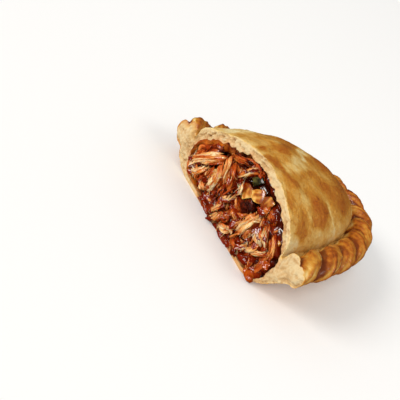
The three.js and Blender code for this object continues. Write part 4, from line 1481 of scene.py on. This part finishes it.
def fibrous(heap, middle, width, tone, draws, number, flatness=0.3):
    """A shred of meat: a flattened body with ridges along it, torn at both ends."""
    ridges = max(3, round(3 * width + 2))
    steps, sides = len(middle), 4 * ridges + 2
    ahead, side, over = frames_along(middle)
    share = np.linspace(0, 1, steps)[:, None]
    turn = 2 * math.pi * np.arange(sides)[None, :] / sides
    drift = draws.uniform(0, 6, 4)
    bend = 1.6 * draws.normal() * share + 0.5 * np.sin(5 * share + drift[0])
    ridge = 0.65 * np.cos(ridges * (turn + 0.18 * np.sin(2 * turn + drift[1])) + bend)
    ridge = ridge + 0.35 * np.cos((2 * ridges - 3) * turn - 1.7 * bend + drift[2])
    taper = np.clip(np.minimum(share, 1 - share) * 8, 0.02, 1) ** 0.5
    swell = 1 + 0.2 * np.sin(6 * share + drift[3]) + 0.12 * np.sin(15 * share + drift[0])
    dimple = np.sin(9 * share + 3 * np.cos(turn) + drift[2])
    dimple = dimple * np.sin(15 * share - 2 * turn + drift[3])
    size = taper * swell * (1 + 0.075 * ridge + 0.06 * dimple)
    wide = width / 2 * size * np.cos(turn)
    thick = width * flatness * size * np.sin(turn)
    roll = draws.normal(0, 0.25) + draws.normal(0, 0.6) * (share - 0.5)
    across = wide * np.cos(roll) - thick * np.sin(roll)
    up = wide * np.sin(roll) + thick * np.cos(roll)
    torn = (share - 0.5) * 2
    tear = draws.normal(0, 0.32, ridges + 1)[(np.arange(sides) * ridges // sides)][None, :]
    reach = tear * torn * np.abs(torn) ** 5 * width
    points = (
        middle[:, None]
        + side[:, None] * across[..., None]
        + over[:, None] * up[..., None]
        + ahead[:, None] * reach[..., None]
    ).reshape(-1, 3)
    grain = np.stack(
        [
            np.broadcast_to(run_along(middle)[:, None], (steps, sides)),
            width * np.cos(turn) + 0 * share + 3.1 * number,
            width * np.sin(turn) + 0 * share + 1.7 * number,
        ],
        axis=-1,
    ).reshape(-1, 3)
    # The tone is a little lighter on the ridges, and the sauce mark, which deepens the glaze, is
    # higher in the grooves between them: painted shade in part, and sauce that gathers there. The
    # glaze is also deeper on the side of each shred turned away from the light: painted shade.
    level = 0.04 + tone + 0.04 * ridge + 0.2 * np.sin(4 * share + drift[1]) - 0.25 * (1 - taper)
    lit = np.cos(turn - math.pi / 2 - 0.9 * np.sign(side[:, 2:3] - side[:, 0:1]))
    sauce = 0.34 - 0.12 * ridge - 0.55 * lit + 0.15 * dimple + 0.4 * np.abs(torn) ** 3
    sauce = np.broadcast_to(np.clip(sauce, 0, 1), (steps, sides)).ravel()
    ends = [points[:sides].mean(axis=0), points[-sides:].mean(axis=0)]
    heap.add(
        np.concatenate([points, ends]),
        tube_faces(steps, sides),
        tone=np.concatenate([level.ravel(), [tone - 0.1] * 2]),
        sauce=np.concatenate([sauce, [0.7] * 2]),
        grain=np.concatenate([grain, grain[[0, -1]]]),
    )


def at_shares(rows, at):
    """Rows along a line, read at shares of the way along it."""
    share = np.linspace(0, 1, len(rows))
    return np.stack([np.interp(at, share, rows[:, axis]) for axis in range(3)], axis=-1)


def bundle(heap, middle, width, tone, draws, number):
    """A pulled shred: a soaked body, and strips along it that start and end unevenly."""
    _, side, over = frames_along(middle)
    body_steps, strip_steps = (27, 26) if width > WIDE_SHRED else (18, 16)
    # The body lies a little under the strips and a shade darker: painted shade under them, and
    # sauce.
    body = at_shares(middle - 0.12 * width * over, np.linspace(0.04, 0.96, body_steps))
    fibrous(heap, body, width, tone - 0.04, draws, number)
    strips = max(2, round(1 + 0.8 * width))
    for row in range(strips):
        place = (row + 0.5) / strips * 2 - 1 + draws.normal(0, 0.12)
        first, last = draws.uniform(-0.2, 0.14), 1 - draws.uniform(-0.2, 0.14)
        at = np.linspace(max(first, 0), min(last, 1), strip_steps)
        sway = 0.14 * np.sin(draws.uniform(0, 6) + draws.uniform(3, 9) * at)
        across = width * (0.42 * place * (1 + draws.normal(0, 0.3) * (at - 0.5)) + sway)
        up = width * (0.18 * math.sqrt(max(1 - place * place, 0.05)) + draws.uniform(-0.04, 0.06))
        path = at_shares(middle + up * over, at) + at_shares(side, at) * across[:, None]
        shade = tone + 0.02 + 0.13 * rise(tone, 0.1, 0.4) * draws.normal()
        size = width * draws.uniform(0.42, 0.78)
        fibrous(heap, path, size, shade, draws, number + row + 1, 0.27)


def loose_fibres(heap, middle, width, tone, draws, number, radius):
    """Thin fibres that lie along a shred and leave it at the ends."""
    _, side, over = frames_along(middle)
    share = np.linspace(0, 1, len(middle))
    way = np.linspace(0, 1, FIBRE_STEPS)
    fade = np.clip(np.minimum(way, np.linspace(1, 0, FIBRE_STEPS)) * 6, 0.1, 1)
    for row in range(round(1 + width)):
        turn = draws.uniform(0.15, 0.85) * math.pi
        off = draws.normal(0, 0.25)
        spread_out = 1 + off * (share - 0.5) + 0.25 * np.abs(2 * share - 1) ** 4
        across = width / 2 * math.cos(turn) * spread_out
        up = width * 0.36 * math.sin(turn) * (1 - 0.3 * np.abs(2 * share - 1) ** 4)
        path = middle + side * across[:, None] + over * up[:, None]
        first, last = draws.uniform(-0.05, 0.4), 1 - draws.uniform(-0.05, 0.4)
        at = np.linspace(max(first, 0), min(last, 1), FIBRE_STEPS)
        path = at_shares(path, at)
        path[:, 0] += 0.1 * np.sin(draws.uniform(0, 6) + 6 * at)
        radii = radius * draws.uniform(0.6, 1.5) * fade
        points, faces, grain = strand(path, radii, 6, number + row)
        shade, sauce = tone + draws.uniform(-0.1, 0.2), draws.uniform(0, 0.4)
        heap.add(points, faces, tone=shade, sauce=sauce, grain=grain)


def fuzz(heap, middle, width, tone, draws, number, radius):
    """Short curled fibres that stand off the sides of a shred."""
    ahead, side, over = frames_along(middle)
    steps = np.linspace(0, 1, FUZZ_STEPS)[:, None]
    for row in range(round(width * (3 + 16 * max(tone - 0.5, 0)))):
        at = draws.integers(5, len(middle) - 5)
        edge = draws.choice([-1, 1])
        aside = side[at] * edge * draws.uniform(0.2, 0.5)
        start = middle[at] + width * (aside + over[at] * draws.uniform(0.1, 0.34))
        reach = draws.uniform(0.9, 2.6)
        way = ahead[at] * draws.choice([-1, 1]) + side[at] * edge * draws.uniform(0.1, 0.6)
        curl = side[at] * draws.normal(0, 0.4) + over[at] * draws.normal(0.1, 0.2)
        path = start + reach * (way * steps + curl * steps**2)
        radii = radius * draws.uniform(0.5, 0.9) * (1.1 - steps[:, 0])
        points, faces, grain = strand(path, radii, 5, number + row)
        heap.add(points, faces, tone=tone + draws.uniform(0.05, 0.25), sauce=0.0, grain=grain)


def shred_lines(s):
    """The middle line of each shred, with its width and tone."""
    found = []
    for places, width, tone, lift in SHREDS:
        curve = through(places, SHRED_STEPS)
        plain = behind(curve, width)
        curve[:, 0] += 0.3 * ripple(plain, 1.8, 71)
        curve[:, 1] += 0.3 * ripple(plain, 1.8, 72)
        share = np.linspace(0, 1, len(curve))
        depth = s.sink - (s.sink + lift) * np.sin(math.pi * share) ** 0.55
        found.append((in_sight(behind(curve, depth)), width, tone))
    return found


def kept_free(places):
    """Whether any of the places lies where no small piece goes."""
    return any(inside(places, np.array(corners)).any() for corners in KEPT_FREE)


def lying(turn):
    """Directions along and across a line that lies on the cut at a turn."""
    way = np.array([math.cos(turn), math.sin(turn)])
    return way, np.array([-way[1], way[0]])


def mid_lines(s, keep):
    """Smaller shreds that lie between the large ones."""
    draws = np.random.default_rng(s.seed + 5)
    found = []
    while len(found) < s.mid_shreds:
        x, z = draws.uniform(-23, 26), draws.uniform(1, 23)
        turn = math.radians(draws.normal(58, 20) if x < -5 else draws.normal(95, 42))
        way, aside = lying(turn)
        half = draws.uniform(1.4, 3.6)
        spots = np.array([x, z]) + np.linspace(-half, half, 4)[:, None] * way
        spots = spots + draws.normal(0, 0.35, (4, 1)) * aside
        if not inside(spots, keep).all() or kept_free(spots):
            continue
        curve = through(spots, SCRAP_STEPS)
        share = np.linspace(0, 1, len(curve))
        depth = core_front(curve[:, 0], curve[:, 1], s) + 0.4
        depth = depth - draws.uniform(0.6, 1.6) * np.sin(math.pi * share) ** 0.5
        width, tone = draws.uniform(0.7, 1.5), draws.choice([0.14, 0.24, 0.36, 0.5, 0.68])
        found.append((in_sight(behind(curve, depth)), width, tone))
    return found


def shred_heap(lines, s):
    """Shreds of meat along lines."""
    heap = Heap()
    draws = np.random.default_rng(s.seed + 1)
    for number, (middle, width, tone) in enumerate(lines):
        bundle(heap, middle, width, tone, draws, 20 * number)
    return heap


def fine_heap(s, keep, lines):
    """Fine strands scattered over the front of the core, and loose fibres along the shreds."""
    heap = Heap()
    draws = np.random.default_rng(s.seed + 2)
    for number, (middle, width, tone) in enumerate(lines):
        loose_fibres(heap, middle, width, tone, draws, 20 * number + 11, s.fibre_radius)
        fuzz(heap, middle, width, tone, draws, 20 * number + 15, s.fibre_radius)
    made = 0
    while made < s.fine_strands:
        x, z = draws.uniform(-23, 26), draws.uniform(1.5, 22)
        turn = math.radians(draws.normal(62, 34) if x < 0 else draws.normal(110, 45))
        half = draws.uniform(1.8, 5.2)
        bend = draws.normal(0, 0.25) * half
        way, aside = lying(turn)
        spots = np.array([x, z]) + np.array([-1, 0, 1])[:, None] * half * way
        spots[1] += bend * aside
        curve = through(spots, STRAND_STEPS)
        if not inside(curve, keep).all() or kept_free(curve):
            continue
        depth = core_front(curve[:, 0], curve[:, 1], s) - draws.uniform(0.1, 1.5)
        path = in_sight(behind(curve, depth))
        share = np.linspace(0, 1, len(path))
        taper = np.clip(np.minimum(share, 1 - share) * 6, 0, 1) ** 0.5
        radii = s.fine_radius * draws.uniform(0.6, 1.7) * (0.2 + 0.8 * taper)
        points, faces, grain = strand(path, radii, 6, 900 + made)
        tone = draws.choice([0.2, 0.35, 0.45, 0.6, 0.75])
        heap.add(points, faces, tone=tone, sauce=draws.uniform(0.1, 0.7), grain=grain)
        made += 1
    return heap


def unit_ball(splits):
    """A ball of even triangles."""
    shape = bmesh.new()
    bmesh.ops.create_icosphere(shape, subdivisions=splits, radius=1)
    points = np.array([corner.co for corner in shape.verts])
    faces = np.array([[corner.index for corner in face.verts] for face in shape.faces])
    shape.free()
    return points, faces


def on_cut(turn):
    """Axes along, out of and across a piece that lies on the cut at a turn in degrees."""
    c, n = math.cos(math.radians(turn)), math.sin(math.radians(turn))
    return np.array([[c, 0, n], [0, 1, 0], [-n, 0, c]])


def lump(ball, place, axes, sizes, squareness, roughness, seed):
    """An uneven piece from a ball: squared off, scaled, turned to its axes and put in its place."""
    points, faces = ball
    shaped = np.sign(points) * np.abs(points) ** squareness
    shaped = shaped * (1 + roughness * ripple(points + seed, 0.8, seed))[:, None]
    shaped = shaped * (1 + 0.5 * roughness * ripple(points + seed, 0.35, seed + 1))[:, None]
    shaped[:, 0] *= 1 - 0.28 * shaped[:, 2]
    shaped[:, 1] += 0.35 * shaped[:, 0] ** 2
    return place + (shaped * np.array(sizes)) @ axes, faces


def petal(ball, corners, front, thickness, tilt, seed):
    """A thin piece with a cornered outline as seen on the cut, tilted back at its top."""
    points, faces = ball
    corners = np.array(corners, float)
    middle = corners.mean(axis=0)
    arms = corners - middle
    arms = arms[np.argsort(np.arctan2(arms[:, 1], arms[:, 0]))]
    sides = np.roll(arms, -1, axis=0) - arms
    outward = np.stack([sides[:, 1], -sides[:, 0]], axis=-1)
    turn = np.arctan2(points[:, 2], points[:, 0])
    facing = np.stack([np.cos(turn), np.sin(turn)], axis=-1) @ outward.T
    nearness = np.maximum(facing, 0) / (outward * arms).sum(axis=1)
    reach = (nearness**14).sum(axis=1) ** (-1 / 14)
    reach = reach * (1 + 0.16 * ripple(points + seed, 0.7, seed))
    out = np.hypot(points[:, 0], points[:, 2])
    flat = np.sign(points[:, 1]) * np.abs(points[:, 1]) ** 0.34
    x, z = reach * out * np.cos(turn), reach * out * np.sin(turn)
    layers = 0.1 * np.sin(3 * x + z + seed) + 0.2 * ripple(points + seed, 0.8, seed + 1)
    bend = tilt * z + 0.05 * (x * math.cos(seed) + z * math.sin(seed)) ** 2
    shaped = np.stack([x, thickness * flat * (1 + 0.5 * layers) + bend, z], axis=-1)
    return shaped + in_sight(np.array([[middle[0], front, middle[1]]])), faces


def lump_heap(s):
    """Lumps of meat, and the dark chunk."""
    heap = Heap()
    ball = unit_ball(LUMP_SPLITS)
    for row, (x, z, half_width, half_height, turn, tone, lift) in enumerate(LUMPS):
        place = in_sight(np.array([[x, core_front(x, z, s) - lift, z]]))
        sizes = half_width, 1.2, half_height
        points, faces = lump(ball, place, on_cut(turn), sizes, 0.85, 0.7, 60 + row)
        heap.add(points, faces, tone=tone, sauce=0.4, grain=points * 0.8 + row)
    points, faces = petal(ball, CHUNK, s.recess - s.chunk_lift, s.chunk_thickness, 0, 84)
    tone = 0.34 - 0.26 * rise(ball[0][:, 0] + ball[0][:, 2], -1.1, -0.3)
    heap.add(points, faces, tone=tone, sauce=0.3, grain=points * 0.8)
    return heap


def vegetable_heap(rows, s, thickness, seed):
    """Thin pieces of vegetable with veins along them."""
    heap = Heap()
    ball = unit_ball(LUMP_SPLITS)
    for row, (corners, lift, shade, turn) in enumerate(rows):
        points, faces = petal(ball, corners, s.recess - lift, thickness, s.petal_tilt, seed + row)
        along, _, across = on_cut(turn) @ ball[0].T
        veins = np.sin(8 * across + 2 * ripple(ball[0], 1, seed + row))
        # The thin mark grows paler towards one side of each piece; on the second onion piece that
        # paler side is a painted highlight.
        thin = shade + 0.4 * along + 0.14 * veins + 0.45 * ripple(points, 1.2, seed + row)
        heap.add(points, faces, thin=thin)
    return heap


def drop_heap(s):
    """Large drops of sauce, and the sauce that has run over the edge of the base."""
    heap = Heap()
    ball = unit_ball(DROP_SPLITS)
    for row, (x, z, half_width, half_height, lift, level) in enumerate(DROPS):
        place = in_sight(np.array([[x, s.recess - lift, z]]))
        sizes = half_width, 1.1, half_height
        points, faces = lump(ball, place, on_cut(0), sizes, 1.0, 0.22, 90 + row)
        heap.add(points, faces, level=level)
    draws = np.random.default_rng(s.seed + 3)
    for row in range(s.lip_drops):
        x = -11.5 + 26 * (row + draws.uniform(0.1, 0.9)) / s.lip_drops
        place = np.array([x, draws.uniform(-0.3, 0.2), draws.uniform(0.4, 1.7)])
        sizes = draws.uniform(1.0, 2.6), draws.uniform(0.3, 0.7), draws.uniform(0.5, 1.2)
        points, faces = lump(ball, place, on_cut(draws.normal(0, 25)), sizes, 1.0, 0.8, 300 + row)
        heap.add(points, faces, level=draws.uniform(0.15, 0.55))
    return heap


def add_film(heap, ball, place, along, facing, sizes, level, seed):
    """A film of sauce at a place, that lies along one direction and looks towards another."""
    facing = facing / np.linalg.norm(facing)
    along = along - facing * (along @ facing)
    along = along / np.linalg.norm(along)
    axes = np.array([along, facing, np.cross(along, facing)])
    points, faces = lump(ball, place, axes, sizes, 1.0, 0.6, seed)
    heap.add(points, faces, level=level)


def film_heap(lines, s):
    """Films of sauce that cling to the fronts of the shreds and drops."""
    heap = Heap()
    ball = unit_ball(DROP_SPLITS)
    draws = np.random.default_rng(s.seed + 4)
    for row in range(s.films):
        middle, width, _ = lines[draws.integers(len(lines))]
        ahead, side, over = frames_along(middle)
        at = draws.integers(len(middle) // 6, 5 * len(middle) // 6)
        facing = GLINT + draws.normal(0, 0.3, 3)
        aside = side[at] * draws.uniform(-0.4, 0.4) + over[at] * draws.uniform(0.2, 0.36)
        sizes = draws.uniform(0.7, 2.0), draws.uniform(0.18, 0.3), draws.uniform(0.4, 1.0)
        level = draws.uniform(0.15, 0.65)
        add_film(heap, ball, middle[at] + aside * width, ahead[at], facing, sizes, level, 500 + row)
    starts = np.concatenate([middle - [0, 0.4 * width, 0] for middle, width, _ in lines])
    ways = np.concatenate([frames_along(middle)[0] for middle, _, _ in lines])
    seen = starts + starts[:, 1:2] * SIGHT
    for row, (x, z, half_length, half_width) in enumerate(GLINTS):
        away = np.hypot(seen[:, 0] - x, seen[:, 2] - z) + 2 * np.maximum(starts[:, 1], 0)
        at = away.argmin()
        on_drop = away[at] > s.glint_reach
        place = in_sight(np.array([[x, s.recess - s.drop_front, z]]))[0] if on_drop else starts[at]
        sizes = half_length, s.glint_thickness, half_width
        add_film(heap, ball, place, ways[at], GLINT, sizes, 0.7 if on_drop else 0.5, 700 + row)
    return heap


def filling_outline(scene):
    """The loop on the cut within which the filling shows."""
    loop = Skin()
    for ring, _ in Form(scene.empanada_crust).cavity_rings(CORE_RINGS, FILLING_INSET):
        loop.ring(ring)
    return np.concatenate(loop.points)[loop.cut_loop()][:, [0, 2]]


def filling_piece(name, heap, material):
    """A piece of the filling from a heap."""
    points, faces, marks = heap.joined()
    new_piece(name, points, faces, marks, material)


class EMPANADA_OT_crust(Operator):
    """Builds the baked crust with its rope edge, cut crumb and stained inside"""

    bl_idname = "empanada.crust"
    bl_label = "Crust"

    def execute(self, context):
        form = Form(context.scene.empanada_crust)
        points, faces, marks = crust_mesh(form)
        material = crust_material(context.scene.empanada_crust_look)
        piece = new_piece("crust", points, faces, marks, material, sharp=58)
        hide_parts("pastry")
        return {"FINISHED"}


class EMPANADA_OT_sauce(Operator):
    """Builds the core of the filling and the drops of sauce"""

    bl_idname = "empanada.sauce"
    bl_label = "Sauce"

    def execute(self, context):
        scene = context.scene
        look = scene.empanada_filling_look
        s = values_of(scene.empanada_filling)
        # On the core's front, depth picks these tones: painted shade where it lies back and painted
        # light deep in the pockets.
        stops = ((0.1, look.sauce_dark), (0.5, look.sauce), (0.95, look.sauce_light))
        keep = filling_outline(scene)
        lines = shred_lines(s) + mid_lines(s, keep)
        points, faces, marks = core_mesh(Form(scene.empanada_crust), s, lines)
        material = sauce_material("Sauce", stops, 0.7)
        core = new_piece("sauce_core", points, faces, marks, material, sharp=70)
        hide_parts("filling")
        material = sauce_material("Wet_sauce", stops, 1.0)
        filling_piece("sauce_drops", drop_heap(s), material)
        filling_piece("sauce_films", film_heap(lines, s), material)
        return {"FINISHED"}


class EMPANADA_OT_meat(Operator):
    """Builds the shreds, fine strands and lumps of meat"""

    bl_idname = "empanada.meat"
    bl_label = "Meat"

    def execute(self, context):
        scene = context.scene
        s = values_of(scene.empanada_filling)
        material = meat_material(scene.empanada_filling_look)
        keep = filling_outline(scene)
        filling_piece("meat_shreds", shred_heap(shred_lines(s), s), material)
        filling_piece("meat_scraps", shred_heap(mid_lines(s, keep), s), material)
        filling_piece("meat_strands", fine_heap(s, keep, shred_lines(s)), material)
        filling_piece("meat_lumps", lump_heap(s), material)
        return {"FINISHED"}


class EMPANADA_OT_vegetables(Operator):
    """Builds the pieces of onion, pepper and herb"""

    bl_idname = "empanada.vegetables"
    bl_label = "Vegetables"

    def execute(self, context):
        scene = context.scene
        look = scene.empanada_filling_look
        s = values_of(scene.empanada_filling)
        stops = ((0.1, look.onion_dark), (0.45, look.onion), (0.9, look.onion_light))
        onion = vegetable_material("Onion", stops, 0.7)
        filling_piece("onion", vegetable_heap(ONIONS, s, 0.36, 110), onion)
        green = vegetable_material("Green", ((0.2, look.green), (0.95, look.green_light)), 0.2)
        filling_piece("pepper", vegetable_heap(GREENS, s, 0.3, 130), green)
        return {"FINISHED"}


def camera_matrix(look):
    """Where the camera stands and how it is turned, so that its target is seen at its place."""
    sizes = bpy.context.scene.empanada_crust
    target = Vector((0, sizes.depth / 2, 0.4 * sizes.height)) + Vector(frame_shift())
    turn, tilt, roll = look.azimuth, look.elevation, look.roll
    level = math.cos(tilt)
    back = Vector((math.sin(turn) * level, -math.cos(turn) * level, math.sin(tilt)))
    right = Vector((math.cos(turn), math.sin(turn), 0))
    up = back.cross(right)
    rolled_right = math.cos(roll) * right + math.sin(roll) * up
    rolled_up = math.cos(roll) * up - math.sin(roll) * right
    stand = Matrix((rolled_right, rolled_up, back))
    width = SENSOR_WIDTH / look.lens
    seen = Vector(((look.target_across - 0.5) * width, (0.5 - look.target_down) * width, -1))
    aim = Vector((0, 0, -1)).rotation_difference(seen).to_matrix()
    turned = (aim @ stand).transposed().to_4x4()
    return Matrix.Translation(target + back * look.distance) @ turned


def build_floor(scene, look):
    """A wide floor whose edge rises, so that no horizon shows."""
    mesh = bpy.data.meshes.new("floor")
    half = look.floor_size / 2
    flat = FLOOR_LEVEL * half
    square = ((-1, -1), (1, -1), (1, 1), (-1, 1))
    corners = [(flat * x, flat * y, 0) for x, y in square]
    corners += [(half * x, half * y, look.floor_rim) for x, y in square]
    sides = [(side + 4, (side + 1) % 4 + 4, (side + 1) % 4, side) for side in range(4)]
    mesh.from_pydata(corners, [], [(0, 1, 2, 3), *sides])
    floor = bpy.data.objects.new("floor", mesh)
    scene.collection.objects.link(floor)
    material, tree, shader, place = new_material("Floor")
    grain = use_group(tree, mottle_group(), place)
    shader.inputs["Base Color"].default_value = (*look.floor, 1)
    tree.links.new(put_scaled(tree, grain["Broad"], 0.1, 0.75), shader.inputs["Roughness"])
    mesh.materials.append(material)
    floor.visible_glossy = False


def build_lights(scene, look):
    """Three lights, and a white sky that isn't mirrored in the sauce."""
    for name, energy, softness, source in (
        ("key", look.key, look.key_softness, look.key_from),
        ("fill", look.fill, look.fill_softness, look.fill_from),
        ("spark", look.spark, look.spark_softness, look.spark_from),
    ):
        sun = bpy.data.lights.new(name, "SUN")
        sun.energy = energy
        sun.angle = softness
        sun.color = LAMP_TINT
        lamp = bpy.data.objects.new(name, sun)
        lamp.rotation_euler = Vector(source).to_track_quat("Z", "Y").to_euler()
        scene.collection.objects.link(lamp)
    world = bpy.data.worlds.new("World")
    world.use_nodes = True
    sky = world.node_tree.nodes["Background"]
    sky.inputs["Color"].default_value = (1, 1, 1, 1)
    sky.inputs["Strength"].default_value = look.sky
    scene.world = world
    world.cycles_visibility.glossy = False


def build_camera(scene, look):
    """The camera, in its place."""
    camera = bpy.data.cameras.new("camera")
    camera.sensor_width = SENSOR_WIDTH
    camera.lens = look.lens
    camera.clip_start = 0.005
    camera.clip_end = 100
    stand = bpy.data.objects.new("camera", camera)
    stand.matrix_world = camera_matrix(look)
    scene.collection.objects.link(stand)
    scene.camera = stand


class EMPANADA_OT_stage(Operator):
    """Builds the floor, the lights and the camera"""

    bl_idname = "empanada.stage"
    bl_label = "Stage"

    def execute(self, context):
        scene = context.scene
        look = scene.empanada_stage
        build_floor(scene, look)
        build_lights(scene, look)
        build_camera(scene, look)
        scene.view_settings.view_transform = "Standard"
        return {"FINISHED"}


class EMPANADA_PT_panel(Panel):
    """Lists the pieces of the half"""

    bl_label = "Empanada"
    bl_space_type = "VIEW_3D"
    bl_region_type = "UI"
    bl_category = "Empanada"

    def draw(self, context):
        for operator in OPERATORS:
            self.layout.operator(operator.bl_idname)


OPERATORS = (
    EMPANADA_OT_crust,
    EMPANADA_OT_sauce,
    EMPANADA_OT_meat,
    EMPANADA_OT_vegetables,
    EMPANADA_OT_stage,
)
GROUPS = {
    "empanada_crust": CrustForm,
    "empanada_crust_look": CrustLook,
    "empanada_filling": FillingForm,
    "empanada_filling_look": FillingLook,
    "empanada_stage": StageLook,
}


def register():
    for group in GROUPS.values():
        bpy.utils.register_class(group)
    for name, group in GROUPS.items():
        setattr(bpy.types.Scene, name, PointerProperty(type=group))
    for operator in OPERATORS:
        bpy.utils.register_class(operator)
    bpy.utils.register_class(EMPANADA_PT_panel)


def unregister():
    bpy.utils.unregister_class(EMPANADA_PT_panel)
    for operator in reversed(OPERATORS):
        bpy.utils.unregister_class(operator)
    for name, group in reversed(GROUPS.items()):
        delattr(bpy.types.Scene, name)
        bpy.utils.unregister_class(group)


def main():
    register()
    bpy.ops.empanada.crust()
    bpy.ops.empanada.sauce()
    bpy.ops.empanada.meat()
    bpy.ops.empanada.vegetables()
    bpy.ops.empanada.stage()
    bpy.context.view_layer.update()


if __name__ == "__main__":
    main()
